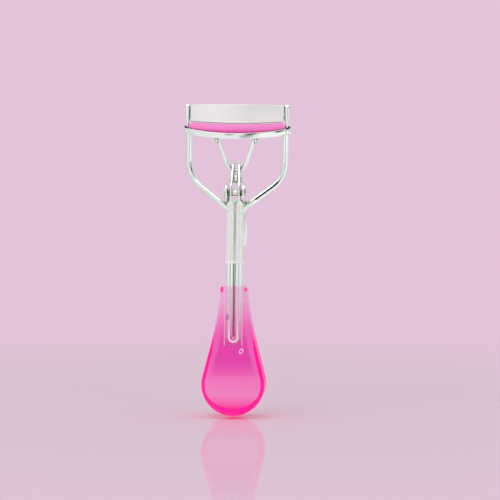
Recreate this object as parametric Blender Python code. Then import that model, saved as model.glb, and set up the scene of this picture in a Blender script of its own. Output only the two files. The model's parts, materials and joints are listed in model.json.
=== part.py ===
"""Eyelash curler: a wire frame with a fixed upper jaw, and a lever that slides the lower jaw.

Lengths are in millimetres, measured from the pivot rivet's centre: +X to the right, +Y to the back,
+Z up. Parent empties put that point in the world, whose origin is the middle of the rear paddle's
flat back face, and turn the mesh units into metres.
"""

import math

import bmesh
import bpy
from mathutils import Matrix, Vector

MM = 0.001

# ---- where the pivot sits in the world, and how the lever rests ----
PADDLE_THICKNESS = 6.0
REAR_PADDLE_Y = 3.6
REAR_FACE_Y = REAR_PADDLE_Y + PADDLE_THICKNESS / 2
GRIP_FACE_Z = -73.2
PIVOT_WORLD = Vector((0.0, -REAR_FACE_Y, -GRIP_FACE_Z))
LEVER_LEAN = 5.0

# ---- frame wire: blades, guide rods, diagonals and tails ----
FRAME_RADIUS = 1.25
GUIDE_X = 18.5
GUIDE_Y = 11.5
GUIDE_TOP = 23.3
BLADE_X = 19.05
BLADE_START_Z = 25.1
BLADE_TOP_Z = 33.75
BLADE_FOOT_HALF_THICKNESS = 0.55
BLADE_TOP_HALF_THICKNESS = 1.1
BLADE_HALF_WIDTH = 2.25
BLADE_ROUNDING = 1.6
BLADE_POWER = 5.0
BEATEN_SECTION = (0.9, 1.75, 2.8)
SHOULDER_Z = 5.3
SHOULDER_FILLET = 12.0
TAIL_X = 1.65
NECK_Z = -7.0
NECK_FILLET = 6.0
SPREAD_X = 6.4
SPREAD_FILLET = 6.0
FRAME_BOTTOM = -58.0

# ---- upper jaw plate ----
JAW_ARC_RADIUS = 31.2
JAW_APEX_Y = 3.4
PLATE_HALF_THICKNESS = 0.4
PLATE_ARC_X = 16.6
PLATE_FOLD_RADIUS = 1.0
PLATE_BACK_Y = 13.4
PLATE_TOP_Z = 33.3
PLATE_TOP_ARCH = 0.3
PLATE_BOTTOM_ENDS = 26.8
PLATE_BOTTOM_BOW = 0.55
PLATE_LIP_RADIUS = 0.5
PLATE_LIP_STEPS = 6
FLANGE_CLEARANCE = 0.15
FLANGE_TAPER = 1.6
FLANGE_DROP = 0.5

# ---- lower jaw, its eyes and its lugs ----
JAW_HALF_DEPTH = 2.2
JAW_WALL = 0.6
JAW_TOP_ENDS = 24.4
JAW_TOP_BOW = 1.75
JAW_BOTTOM_ENDS = 22.2
JAW_BOTTOM_BOW = 0.9
JAW_ARC_X = 17.7
SKIRT_BOTTOM_ENDS = 21.75
SKIRT_BOTTOM_BOW = 1.4
SKIRT_FADE = 3.0
SKIRT_LEAST = 0.05
SKIRT_CHAMFER = 0.25
JAW_CHAMFER = 0.5
EYE_X = 18.75
EYE_HOLE_HALF_X = 1.65
EYE_HOLE_HALF_Y = 2.4
EYE_WALL = 0.5
EYE_BOTTOM = 22.32
EYE_FRONT_TOP = 24.1
EYE_RISE = 0.22
EYE_CUT_REACH = 2.0
LUG_X = 7.6
LUG_HALF_THICKNESS = 0.25
LUG_RADIUS = 1.65
LUG_HOLE_RADIUS = 0.9
LUG_CUT_REACH = 12.0
LUG_STEPS = 8
LINK_TOP_Y = 4.3
LINK_TOP_Z = 20.0

# ---- silicone pad ----
PAD_X = 17.9
PAD_GAP = 0.3
PAD_HALF_WIDTH = 1.6
PAD_CLEARANCE = 0.3
PAD_LIFT_START_X = 15.6
PAD_LIFT_LENGTH = 1.2
PAD_LIFT = 0.15
PAD_CROWN = 1.4
PAD_CROWN_STEPS = 8

# ---- lever wire: ears, stem and hairpin ----
LEVER_RADIUS = 1.55
LEVER_LEG_X = 1.65
LEVER_BOTTOM = -57.8
ARM_ANGLE = 30.5
ARM_LENGTH = 10.7
LINK_HOLE_DISTANCE = 10.2
EAR_HALF_THICKNESS = 0.525
EAR_HALF_WIDTH = 3.2
EAR_PIVOT_X = 1.6
EAR_TIP_X = 1.15
EAR_FLAT_Z = -1.5
EAR_ROUND_Z = -4.5
EAR_BEND_START = 4.0
EAR_BEND_END = 1.8
EAR_CUT_REACH = 4.0
SPACER_DISTANCE = 6.4

# ---- pivot rivet, spacer rivet and bush ----
PIVOT_RADIUS = 1.15
PIVOT_HOLE_RADIUS = 1.27
PIVOT_HEAD_RADIUS = 1.8
PIVOT_TAIL_RADIUS = 1.45
SPACER_RADIUS = 0.8
SPACER_HOLE_RADIUS = 0.92
SPACER_HEAD_RADIUS = 1.66
SPACER_HEAD_X = 2.0
SPACER_END_X = 2.75
BUSH_RADIUS = 1.8
BUSH_HALF_LENGTH = 0.62

# ---- link wire and collars ----
LINK_RADIUS = 0.75
LINK_HOLE_RADIUS = 1.35
LINK_FOOT_X = 1.95
LINK_KNEE_X = 3.9
LINK_KNEE_RISE = 3.0
LINK_HEAD_X = 6.7
LINK_END_X = 8.55
LINK_FILLET = 0.7
LINK_KNEE_FILLET = 3.0
COLLAR_INNER_RADIUS = 0.83
COLLAR_OUTER_RADIUS = 1.15
COLLAR_START_X = 7.92
COLLAR_END_X = 8.42

# ---- pivot bracket ----
BRACKET_INNER_X = 2.9
BRACKET_SHEET = 0.8
BRACKET_EAR_RADIUS = 3.7
BRACKET_EAR_BOTTOM = -3.3
BRACKET_SHOULDER_Z = -0.4
BRACKET_WEB_Y = 5.15
BRACKET_NOTCH_X = 2.45
BRACKET_NOTCH_Z = -3.0
BRACKET_OVERLAP = 0.1
BRACKET_ARC_START = 52.0
BRACKET_ARC_TURN = 245.0
BRACKET_ARC_STEPS = 20
BRACKET_BEND_RADIUS = 0.9
BRACKET_CORE_RADIUS = 0.3
BAND_TOP = -10.4
BAND_BOTTOM = -20.3
BAND_HALF_WIDTH = 3.85
BAND_FRONT_Y = 1.35
BAND_BACK_Y = 5.9
BAND_CORNER = 1.9
BAND_WEB_INSET = 0.3
SEAM_REACH = 0.5
SEAM_HALF_DEPTH = 0.8
SEAM_CORNER = 0.6
SEAM_INSET = 0.15

# ---- lever sleeve ----
SLEEVE_GAP = 0.07
SLEEVE_WALL = 0.22
SLEEVE_TOP = -4.6
SLEEVE_BOTTOM = -27.0
SLEEVE_FLAT = 0.02

# ---- paddles ----
PADDLE_TOP_Z = -35.6
PADDLE_TOP_HALF_WIDTH = 5.35
PADDLE_CORNER_RADIUS = 1.4
PADDLE_EDGE_RADIUS = 1.2
PADDLE_WAIST_HANDLE = Vector((5.6, -50.0))
PADDLE_HIP_HANDLE = Vector((10.3, -63.0))
PADDLE_HIP_Z = -71.5
PADDLE_ROUND_RADIUS = 12.1
PADDLE_ROUND_Z = -73.1
POCKET_CLEARANCE = 0.28
POCKET_DEPTH_BELOW_WIRE = 0.4

# ---- facet counts ----
WIRE_SIDES = 16
LINK_SIDES = 12
BEND_STEPS = 6
LINK_BEND_STEPS = 4
HOLE_SIDES = 24
ARC_STEPS = 20
PADDLE_CORNER_STEPS = 4
PADDLE_SIDE_STEPS = 8
PADDLE_ROUND_STEPS = 10
PADDLE_EDGE_STEPS = 3


# ---------------------------------------------------------------- scene and materials

def clear_scene():
    for thing in list(bpy.data.objects):
        bpy.data.objects.remove(thing, do_unlink=True)


def make_material(name, colour, roughness, metallic, alpha=1.0):
    material = bpy.data.materials.new(name)
    material.use_nodes = True
    shader = material.node_tree.nodes["Principled BSDF"]
    shader.inputs["Base Color"].default_value = (*colour, 1.0)
    shader.inputs["Roughness"].default_value = roughness
    shader.inputs["Metallic"].default_value = metallic
    shader.inputs["Alpha"].default_value = alpha
    return material


def make_empty(name, parent=None, location=(0.0, 0.0, 0.0), lean=0.0):
    """An empty on a joint's axis; lean turns it about X, in degrees."""
    empty = bpy.data.objects.new(name, None)
    bpy.context.scene.collection.objects.link(empty)
    empty.parent = parent
    empty.location = Vector(location) * MM
    empty.rotation_euler = (math.radians(lean), 0.0, 0.0)
    return empty


def from_pivot(empty):
    """Where an empty stands relative to the pivot's empty."""
    offset = Vector()
    while empty.parent is not None:
        offset += empty.location
        empty = empty.parent
    return offset


def make_object(name, mesh_data, material, parent):
    """Turns a bmesh in millimetres about the pivot into an object in metres on its parent empty."""
    mesh = bpy.data.meshes.new(name)
    bmesh.ops.scale(mesh_data, vec=(MM, MM, MM), verts=mesh_data.verts)
    bmesh.ops.recalc_face_normals(mesh_data, faces=mesh_data.faces)
    mesh_data.to_mesh(mesh)
    mesh_data.free()
    thing = bpy.data.objects.new(name, mesh)
    bpy.context.scene.collection.objects.link(thing)
    thing.parent = parent
    thing.location = -from_pivot(parent)
    if material is not None:
        mesh.materials.append(material)
    mesh.shade_smooth()
    mesh.set_sharp_from_angle(angle=math.radians(35.0))
    return thing


def make_cutter(name, mesh_data, parent):
    cutter = make_object(name, mesh_data, None, parent)
    cutter.hide_render = True
    cutter.display_type = "WIRE"
    return cutter


def combine(thing, other, operation):
    modifier = thing.modifiers.new(other.name, "BOOLEAN")
    modifier.object = other
    modifier.operation = operation
    modifier.solver = "EXACT"


def mirror_x(thing):
    modifier = thing.modifiers.new("other_half", "MIRROR")
    modifier.use_axis = (True, False, False)
    modifier.merge_threshold = 0.00001


# ---------------------------------------------------------------- shape helpers

def loft(rings, cap_start=True, cap_end=True):
    """Skins a row of equal rings, and closes its ends."""
    shape = bmesh.new()
    rows = [[shape.verts.new(point) for point in ring] for ring in rings]
    count = len(rows[0])
    for row, next_row in zip(rows, rows[1:]):
        for i in range(count):
            j = (i + 1) % count
            shape.faces.new((row[i], row[j], next_row[j], next_row[i]))
    if cap_start:
        shape.faces.new(reversed(rows[0]))
    if cap_end:
        shape.faces.new(rows[-1])
    return shape


def superellipse(half_side, half_width, power, sides):
    """Points of a section that runs from round (power 2) to flat with round edges."""
    points = []
    for i in range(sides):
        angle = 2.0 * math.pi * (i + 0.5) / sides
        c, s = math.cos(angle), math.sin(angle)
        points.append((
            half_side * math.copysign(abs(c) ** (2.0 / power), c),
            half_width * math.copysign(abs(s) ** (2.0 / power), s),
        ))
    return points


def sweep_rings(path, sections, sides, side):
    """Rings round a path; each section is (half size along side, half size across, power)."""
    rings = []
    side = Vector(side)
    for i, (point, section) in enumerate(zip(path, sections)):
        before = path[max(i - 1, 0)]
        after = path[min(i + 1, len(path) - 1)]
        tangent = (after - before).normalized()
        if i == len(path) - 1 and abs(point.x) < 1e-9:
            tangent = Vector((-1.0, 0.0, 0.0))
        side = (side - tangent * side.dot(tangent)).normalized()
        across = tangent.cross(side)
        rings.append([
            point + side * u + across * v for u, v in superellipse(*section, sides)
        ])
    return rings


def rounded_path(corners, radii, steps=BEND_STEPS):
    """A polyline whose inner corners are turned into arcs of the given radii."""
    path = [corners[0]]
    for before, corner, after, radius in zip(corners, corners[1:], corners[2:], radii):
        into = (corner - before).normalized()
        out = (after - corner).normalized()
        turn = into.angle(out)
        reach = radius * math.tan(turn / 2.0)
        centre = corner + (out - into).normalized() * (radius / math.cos(turn / 2.0))
        axis = into.cross(out).normalized()
        first = corner - into * reach - centre
        for k in range(steps + 1):
            path.append(centre + Matrix.Rotation(turn * k / steps, 3, axis) @ first)
    path.append(corners[-1])
    return path


def hairpin(x, y, bottom, steps=BEND_STEPS):
    """Quarter circle from the leg at x to the middle of a U-turn whose lowest centreline is bottom."""
    angles = [math.pi / 2 * k / steps for k in range(steps)]
    arc = [Vector((x * math.cos(a), y, bottom + x - x * math.sin(a))) for a in angles]
    return arc + [Vector((0.0, y, bottom))]


def circle_x(x, radius, centre, sides):
    """Ring about an axis along X through centre, which is (y, z)."""
    angles = [2.0 * math.pi * i / sides for i in range(sides)]
    return [
        Vector((x, centre[0] + radius * math.cos(a), centre[1] + radius * math.sin(a))) for a in angles
    ]


def lathe_x(profile, sides, centre=(0.0, 0.0)):
    """Solid of revolution about an axis along X through (y, z); profile is (x, radius) points."""
    return loft([circle_x(x, radius, centre, sides) for x, radius in profile])


def tube_x(start, end, inner, outer, sides, centre):
    """Open tube along X."""
    profile = ((start, inner), (start, outer), (end, outer), (end, inner), (start, inner))
    rings = [circle_x(x, radius, centre, sides) for x, radius in profile]
    shape = loft(rings, cap_start=False, cap_end=False)
    bmesh.ops.remove_doubles(shape, verts=shape.verts, dist=1e-5)
    return shape


def box(low, high):
    rings = []
    for z in (low[2], high[2]):
        rings.append([
            Vector((low[0], low[1], z)),
            Vector((high[0], low[1], z)),
            Vector((high[0], high[1], z)),
            Vector((low[0], high[1], z)),
        ])
    return loft(rings)


def rounded_rectangle(half_x, half_y, radius, centre_y, steps=4):
    """Plan outline with round corners."""
    points = []
    for corner, (sx, sy) in enumerate(((1, 1), (-1, 1), (-1, -1), (1, -1))):
        for k in range(steps + 1):
            angle = math.pi / 2 * (corner + k / steps)
            points.append((
                sx * (half_x - radius) + radius * math.cos(angle),
                centre_y + sy * (half_y - radius) + radius * math.sin(angle),
            ))
    return points


def prism_z(outline, bottom, top):
    return loft([[Vector((x, y, z)) for x, y in outline] for z in (bottom, top)])


def prism_y(outline, start, end):
    return loft([[Vector((x, y, z)) for x, z in outline] for y in (start, end)])


def prism_x(outline, start, end):
    return loft([[Vector((x, y, z)) for y, z in outline] for x in (start, end)])


# ---------------------------------------------------------------- shared rules of the design

def jaw_y(x):
    """Both jaws follow one arc in plan, bulging to the front."""
    return JAW_APEX_Y + JAW_ARC_RADIUS - math.sqrt(JAW_ARC_RADIUS ** 2 - x ** 2)


def bowed(ends, bow, x):
    """A height that dips by bow in the middle of the jaw."""
    return ends - bow * (1.0 - (x / GUIDE_X) ** 2)


def eased(value):
    """0 up to 0, 1 from 1, and a smooth rise between."""
    t = min(1.0, max(0.0, value))
    return t * t * (3.0 - 2.0 * t)


def skirt_bottom(x):
    """Lower edge of the lower jaw's front wall, which runs out towards the eyes."""
    floor = bowed(JAW_BOTTOM_ENDS, JAW_BOTTOM_BOW, x)
    skirt = bowed(SKIRT_BOTTOM_ENDS, SKIRT_BOTTOM_BOW, x)
    share = eased((JAW_ARC_X - abs(x)) / SKIRT_FADE)
    return floor + (skirt - floor) * share - SKIRT_LEAST


def blade_half_thickness(z):
    """The blade is thinnest at its foot and thickens evenly to its top."""
    share = (z - BLADE_START_Z) / (BLADE_TOP_Z - BLADE_START_Z)
    return BLADE_FOOT_HALF_THICKNESS + (BLADE_TOP_HALF_THICKNESS - BLADE_FOOT_HALF_THICKNESS) * share


def blade_inner_x(z):
    """The blade's inner side, which the upper jaw's flange follows."""
    return BLADE_X - blade_half_thickness(z)


def arm_point(distance):
    """Point on the ears' centreline, in the lever's own frame, as (y, z)."""
    angle = math.radians(ARM_ANGLE)
    return distance * math.sin(angle), distance * math.cos(angle)


def link_foot():
    """Axis of the link wire in the ears, in the frame's directions, as (y, z)."""
    angle = math.radians(ARM_ANGLE + LEVER_LEAN)
    return LINK_HOLE_DISTANCE * math.sin(angle), LINK_HOLE_DISTANCE * math.cos(angle)


# ---------------------------------------------------------------- frame

def build_frame_wire(parent, material):
    """One wire: blade, guide rod, diagonal and tail down to the hairpin, then mirrored."""
    bottom = FRAME_BOTTOM + FRAME_RADIUS
    slope = (SHOULDER_Z - NECK_Z) / (GUIDE_X - TAIL_X)
    spread = Vector((SPREAD_X, REAR_PADDLE_Y, NECK_Z + slope * (SPREAD_X - TAIL_X)))
    round_part = rounded_path(
        [
            Vector((GUIDE_X, GUIDE_Y, GUIDE_TOP)),
            Vector((GUIDE_X, GUIDE_Y, SHOULDER_Z)),
            spread,
            Vector((TAIL_X, REAR_PADDLE_Y, NECK_Z)),
            Vector((TAIL_X, REAR_PADDLE_Y, bottom + TAIL_X + 1.0)),
        ],
        (SHOULDER_FILLET, SPREAD_FILLET, NECK_FILLET),
    )
    round_part += hairpin(TAIL_X, REAR_PADDLE_Y, bottom)
    path, sections = [], []
    for k in range(1, BEND_STEPS):
        # the rounded top is a quarter ellipse
        angle = math.pi / 2 * k / (BEND_STEPS - 1)
        z = BLADE_TOP_Z - BLADE_ROUNDING * (1.0 - math.cos(angle))
        path.append(Vector((BLADE_X, GUIDE_Y, z)))
        sections.append((blade_half_thickness(z), BLADE_HALF_WIDTH * math.sin(angle), BLADE_POWER))
    path.append(Vector((BLADE_X, GUIDE_Y, BLADE_START_Z)))
    sections.append((BLADE_FOOT_HALF_THICKNESS, BLADE_HALF_WIDTH, BLADE_POWER))
    path.append((path[-1] + round_part[0]) / 2.0)
    sections.append(BEATEN_SECTION)
    path += round_part
    sections += [(FRAME_RADIUS, FRAME_RADIUS, 2.0)] * len(round_part)
    rings = sweep_rings(path, sections, WIRE_SIDES, (1.0, 0.0, 0.0))
    thing = make_object("frame_wire", loft(rings, cap_end=False), material, parent)
    mirror_x(thing)
    return thing


def plate_path():
    """Plan path of the upper jaw plate's right half: arc, fold, then the flange inside the blade."""
    path = []
    for i in range(ARC_STEPS // 2 + 1):
        x = PLATE_ARC_X * i / (ARC_STEPS // 2)
        path.append(Vector((x, jaw_y(x), 0.0)))
    direction = (path[-1] - path[-2]).normalized()
    flange_x = blade_inner_x(BLADE_START_Z) - FLANGE_CLEARANCE - PLATE_HALF_THICKNESS
    reach = (flange_x - path[-1].x) / direction.x
    corner = path[-1] + direction * reach
    back = Vector((flange_x, PLATE_BACK_Y, 0.0))
    fold = rounded_path([path[-1], corner, back], (PLATE_FOLD_RADIUS,))
    return path + fold[1:]


def build_upper_jaw_plate(parent, material):
    """One sheet: each ring is the sheet's section, with a round lip along the bottom edge."""
    path = plate_path()
    start_y = jaw_y(PLATE_ARC_X)
    rings = []
    for i, point in enumerate(path):
        before = path[max(i - 1, 0)]
        after = path[min(i + 1, len(path) - 1)]
        tangent = (after - before).normalized() if i else Vector((1.0, 0.0, 0.0))
        outward = Vector((tangent.y, -tangent.x, 0.0))
        flange = max(0.0, (point.y - start_y) / (PLATE_BACK_Y - start_y))
        arch = PLATE_TOP_ARCH * (1.0 - min(1.0, point.x / GUIDE_X) ** 2)
        top = PLATE_TOP_Z + arch - FLANGE_DROP * flange
        bottom = bowed(PLATE_BOTTOM_ENDS, PLATE_BOTTOM_BOW, point.x) + FLANGE_TAPER * flange
        lip = PLATE_LIP_RADIUS * (1.0 - 0.4 * min(1.0, 3.0 * flange))
        half = PLATE_HALF_THICKNESS
        section = [(-half, top), (half, top), (half, bottom + 2.2 * lip)]
        section += [
            (lip * math.cos(angle), bottom + lip + lip * math.sin(angle))
            for angle in (math.pi * (0.15 - 0.26 * k) for k in range(PLATE_LIP_STEPS))
        ]
        section.append((-half, bottom + 2.2 * lip))
        shift = min(1.0, 2.5 * flange)
        ring = []
        for offset, z in section:
            place = point + outward * offset
            lean = blade_inner_x(z) - blade_inner_x(BLADE_START_Z)
            ring.append(Vector((place.x + shift * lean, place.y, z)))
        if i == 0:
            ring = [Vector((0.0, place.y, place.z)) for place in ring]
        rings.append(ring)
    thing = make_object("upper_jaw_plate", loft(rings, cap_start=False), material, parent)
    mirror_x(thing)
    return thing


def bracket_profile(back):
    """Side view of the bent sheet, as (y, z): round ears, then the web down to the band."""
    profile = []
    for k in range(BRACKET_ARC_STEPS + 1):
        angle = math.radians(BRACKET_ARC_START + BRACKET_ARC_TURN * k / BRACKET_ARC_STEPS)
        profile.append((BRACKET_EAR_RADIUS * math.cos(angle), BRACKET_EAR_RADIUS * math.sin(angle)))
    web_front = BRACKET_WEB_Y - BRACKET_OVERLAP
    foot = BAND_BOTTOM + BAND_WEB_INSET
    profile += [
        (web_front, BRACKET_EAR_BOTTOM), (web_front, foot), (back, foot), (back, BRACKET_SHOULDER_Z)
    ]
    return profile


def build_bracket_channel(parent, material):
    """The folded sheet: two ears joined by a web, with a notch and the pivot's holes."""
    outer_x = BRACKET_INNER_X + BRACKET_SHEET
    back = BRACKET_WEB_Y + BRACKET_SHEET - BRACKET_OVERLAP
    front = -BRACKET_EAR_RADIUS
    plan = rounded_rectangle(outer_x, back - front, BRACKET_BEND_RADIUS, front)
    channel = make_object(
        "pivot_bracket", prism_z(plan, BAND_BOTTOM, BRACKET_EAR_RADIUS + 0.5), material, parent
    )
    core = rounded_rectangle(BRACKET_INNER_X, BRACKET_WEB_Y - front, BRACKET_CORE_RADIUS, front)
    cutters = (
        ("bracket_hollow", prism_z(core, BAND_BOTTOM - 1.0, BRACKET_EAR_RADIUS + 1.5), "DIFFERENCE"),
        (
            "bracket_side_view",
            prism_x(bracket_profile(back + 0.5), -outer_x - 1.0, outer_x + 1.0),
            "INTERSECT",
        ),
        (
            "bracket_notch",
            box(
                (-BRACKET_NOTCH_X, BRACKET_WEB_Y - 1.0, BRACKET_NOTCH_Z),
                (BRACKET_NOTCH_X, back + 1.0, BRACKET_EAR_RADIUS),
            ),
            "DIFFERENCE",
        ),
        (
            "bracket_holes",
            lathe_x(
                ((-outer_x - 1.0, PIVOT_HOLE_RADIUS), (outer_x + 1.0, PIVOT_HOLE_RADIUS)), HOLE_SIDES
            ),
            "DIFFERENCE",
        ),
    )
    for name, shape, operation in cutters:
        combine(channel, make_cutter(name, shape, parent), operation)
    return channel


def seam_outline():
    """The band's joint stands out on the right; front view, as (x, z)."""
    left = BAND_HALF_WIDTH - BRACKET_SHEET / 2
    right = BAND_HALF_WIDTH + SEAM_REACH
    bottom = BAND_BOTTOM + SEAM_INSET
    top = BAND_TOP - SEAM_INSET
    return [
        (left, bottom),
        (right - SEAM_CORNER, bottom),
        (right, bottom + SEAM_CORNER),
        (right, top - SEAM_CORNER),
        (right - SEAM_CORNER, top),
        (left, top),
    ]


def build_pivot_bracket(parent, material):
    """Bent sheet with a band round the frame's tails."""
    bracket = build_bracket_channel(parent, material)
    middle_y = (BAND_FRONT_Y + BAND_BACK_Y) / 2.0
    half_y = (BAND_BACK_Y - BAND_FRONT_Y) / 2.0
    band = rounded_rectangle(BAND_HALF_WIDTH, half_y, BAND_CORNER, middle_y)
    bore = rounded_rectangle(
        BAND_HALF_WIDTH - BRACKET_SHEET,
        half_y - BRACKET_SHEET,
        BAND_CORNER - BRACKET_SHEET,
        middle_y,
    )
    seam = prism_y(seam_outline(), middle_y - SEAM_HALF_DEPTH, middle_y + SEAM_HALF_DEPTH)
    for name, shape, operation in (
        ("bracket_band", prism_z(band, BAND_BOTTOM, BAND_TOP), "UNION"),
        ("bracket_seam", seam, "UNION"),
        ("bracket_band_bore", prism_z(bore, BAND_BOTTOM - 1.0, BAND_TOP + 1.0), "DIFFERENCE"),
    ):
        combine(bracket, make_cutter(name, shape, parent), operation)
    return bracket


def build_pivot_rivet(parent, material):
    """Turned pin: domed head on the left, formed tail on the right."""
    left = BRACKET_INNER_X + BRACKET_SHEET + 0.1
    profile = [
        (-left - 1.1, 0.5 * PIVOT_HEAD_RADIUS),
        (-left - 0.95, 0.8 * PIVOT_HEAD_RADIUS),
        (-left - 0.5, PIVOT_HEAD_RADIUS),
        (-left, PIVOT_HEAD_RADIUS),
        (-left, PIVOT_RADIUS),
        (left, PIVOT_RADIUS),
        (left, PIVOT_TAIL_RADIUS),
        (left + 0.3, PIVOT_TAIL_RADIUS),
        (left + 0.5, 0.8 * PIVOT_TAIL_RADIUS),
    ]
    return make_object("pivot_rivet", lathe_x(profile, HOLE_SIDES), material, parent)


# ---------------------------------------------------------------- paddles

def paddle_outline():
    """Right half of a paddle's outline, from the top middle to the bottom middle, as (x, z)."""
    corner = PADDLE_CORNER_RADIUS
    half = [(0.0, PADDLE_TOP_Z)]
    for k in range(PADDLE_CORNER_STEPS + 1):
        angle = math.pi / 2 * (1.0 - k / PADDLE_CORNER_STEPS)
        half.append((
            PADDLE_TOP_HALF_WIDTH - corner + corner * math.cos(angle),
            PADDLE_TOP_Z - corner + corner * math.sin(angle),
        ))
    start = Vector(half[-1])
    hip_dz = PADDLE_HIP_Z - PADDLE_ROUND_Z
    hip = Vector((math.sqrt(PADDLE_ROUND_RADIUS ** 2 - hip_dz ** 2), PADDLE_HIP_Z))
    for k in range(1, PADDLE_SIDE_STEPS + 1):
        t = k / PADDLE_SIDE_STEPS
        u = 1.0 - t
        half.append(tuple(
            start * u ** 3
            + PADDLE_WAIST_HANDLE * 3 * u * u * t
            + PADDLE_HIP_HANDLE * 3 * u * t * t
            + hip * t ** 3
        ))
    first = math.asin(hip_dz / PADDLE_ROUND_RADIUS)
    for k in range(1, PADDLE_ROUND_STEPS + 1):
        angle = first - (first + math.pi / 2) * k / PADDLE_ROUND_STEPS
        half.append((
            PADDLE_ROUND_RADIUS * math.cos(angle),
            PADDLE_ROUND_Z + PADDLE_ROUND_RADIUS * math.sin(angle),
        ))
    return half


def closed_outline():
    """The whole outline: down the right side and back up the left."""
    half = paddle_outline()
    return half + [(-x, z) for x, z in reversed(half[1:-1])]


def inset_outline(outline, distance):
    """Moves each point of a closed outline inward along its normal."""
    moved = []
    count = len(outline)
    for i, (x, z) in enumerate(outline):
        before = outline[i - 1]
        after = outline[(i + 1) % count]
        along = Vector((after[0] - before[0], after[1] - before[1])).normalized()
        moved.append((x + along.y * distance, z - along.x * distance))
    return moved


def build_paddle(name, centre_y, pocket_half_x, pocket_half_y, pocket_bottom, parent, material):
    """A flat grip with rounded edges, and a pocket from the top for its wire."""
    half = PADDLE_THICKNESS / 2
    radius = PADDLE_EDGE_RADIUS
    outline = closed_outline()
    layers = []
    for k in range(PADDLE_EDGE_STEPS + 1):
        angle = math.pi / 2 * k / PADDLE_EDGE_STEPS
        layers.append((half - radius + radius * math.cos(angle), radius * (1.0 - math.sin(angle))))
    layers += [(-y, inset) for y, inset in reversed(layers)]
    rings = [
        [Vector((x, centre_y + y, z)) for x, z in inset_outline(outline, inset)]
        for y, inset in layers
    ]
    paddle = make_object(name, loft(rings), material, parent)
    pocket = make_cutter(
        name + "_pocket",
        prism_z(
            rounded_rectangle(pocket_half_x, pocket_half_y, pocket_half_y * 0.95, centre_y),
            pocket_bottom,
            PADDLE_TOP_Z + 1.0,
        ),
        parent,
    )
    combine(paddle, pocket, "DIFFERENCE")
    return paddle


# ---------------------------------------------------------------- lever

def build_lever_wire(parent, material):
    """Right half from the ear's tip to the bottom of the hairpin, then mirrored."""
    path, sections = [], []
    tip_x_slope = (EAR_TIP_X - EAR_PIVOT_X) / ARM_LENGTH
    for k in range(1, BEND_STEPS + 1):
        # the round tip of the ear
        angle = math.pi / 2 * k / BEND_STEPS
        distance = ARM_LENGTH + EAR_HALF_WIDTH * math.cos(angle)
        y, z = arm_point(distance)
        path.append(Vector((EAR_PIVOT_X + tip_x_slope * distance, y, z)))
        sections.append((EAR_HALF_THICKNESS, EAR_HALF_WIDTH * math.sin(angle), 6.0))
    y, z = arm_point(EAR_BEND_START)
    path.append(Vector((EAR_PIVOT_X + tip_x_slope * EAR_BEND_START, y, z)))
    y, z = arm_point(EAR_BEND_END)
    path.append(Vector((EAR_PIVOT_X, y, z)))
    path.append(Vector((EAR_PIVOT_X, 0.1, EAR_FLAT_Z)))
    sections += [(EAR_HALF_THICKNESS, EAR_HALF_WIDTH, 6.0)] * 3
    # two sections between the flat ear and the round leg
    path.append(Vector((EAR_PIVOT_X + 0.05, 0.0, (EAR_FLAT_Z * 2 + EAR_ROUND_Z) / 3)))
    sections.append((0.8, 2.7, 4.0))
    path.append(Vector((LEVER_LEG_X - 0.05, 0.0, (EAR_FLAT_Z + EAR_ROUND_Z * 2) / 3)))
    sections.append((1.25, 2.05, 2.6))
    legs = [
        Vector((LEVER_LEG_X, 0.0, EAR_ROUND_Z)),
        Vector((LEVER_LEG_X, 0.0, LEVER_BOTTOM + LEVER_RADIUS + LEVER_LEG_X + 1.0)),
    ]
    legs += hairpin(LEVER_LEG_X, 0.0, LEVER_BOTTOM + LEVER_RADIUS)
    path += legs
    sections += [(LEVER_RADIUS - 0.01, LEVER_RADIUS, 2.0)] * len(legs)
    rings = sweep_rings(path, sections, WIRE_SIDES, (1.0, 0.0, 0.0))
    lever = make_object("lever_wire", loft(rings, cap_end=False), material, parent)
    mirror_x(lever)
    for name, distance, radius in (
        ("lever_pivot_holes", 0.0, PIVOT_HOLE_RADIUS),
        ("lever_spacer_holes", SPACER_DISTANCE, SPACER_HOLE_RADIUS),
        ("lever_link_holes", LINK_HOLE_DISTANCE, LINK_HOLE_RADIUS),
    ):
        bar = ((-EAR_CUT_REACH, radius), (EAR_CUT_REACH, radius))
        hole = make_cutter(name, lathe_x(bar, HOLE_SIDES, arm_point(distance)), parent)
        combine(lever, hole, "DIFFERENCE")
    return lever


def build_spacer(parent, material):
    """The rivet through both ears, and the bush between them."""
    centre = arm_point(SPACER_DISTANCE)
    profile = [
        (-SPACER_END_X, 0.6 * SPACER_HEAD_RADIUS),
        (-SPACER_END_X + 0.3, SPACER_HEAD_RADIUS),
        (-SPACER_HEAD_X, SPACER_HEAD_RADIUS),
        (-SPACER_HEAD_X, SPACER_RADIUS),
    ]
    profile += [(-x, radius) for x, radius in reversed(profile)]
    rivet = make_object("spacer_rivet", lathe_x(profile, HOLE_SIDES, centre), material, parent)
    bush = make_object(
        "spacer_bush",
        tube_x(-BUSH_HALF_LENGTH, BUSH_HALF_LENGTH, SPACER_HOLE_RADIUS, BUSH_RADIUS, HOLE_SIDES, centre),
        material,
        parent,
    )
    return rivet, bush


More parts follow.
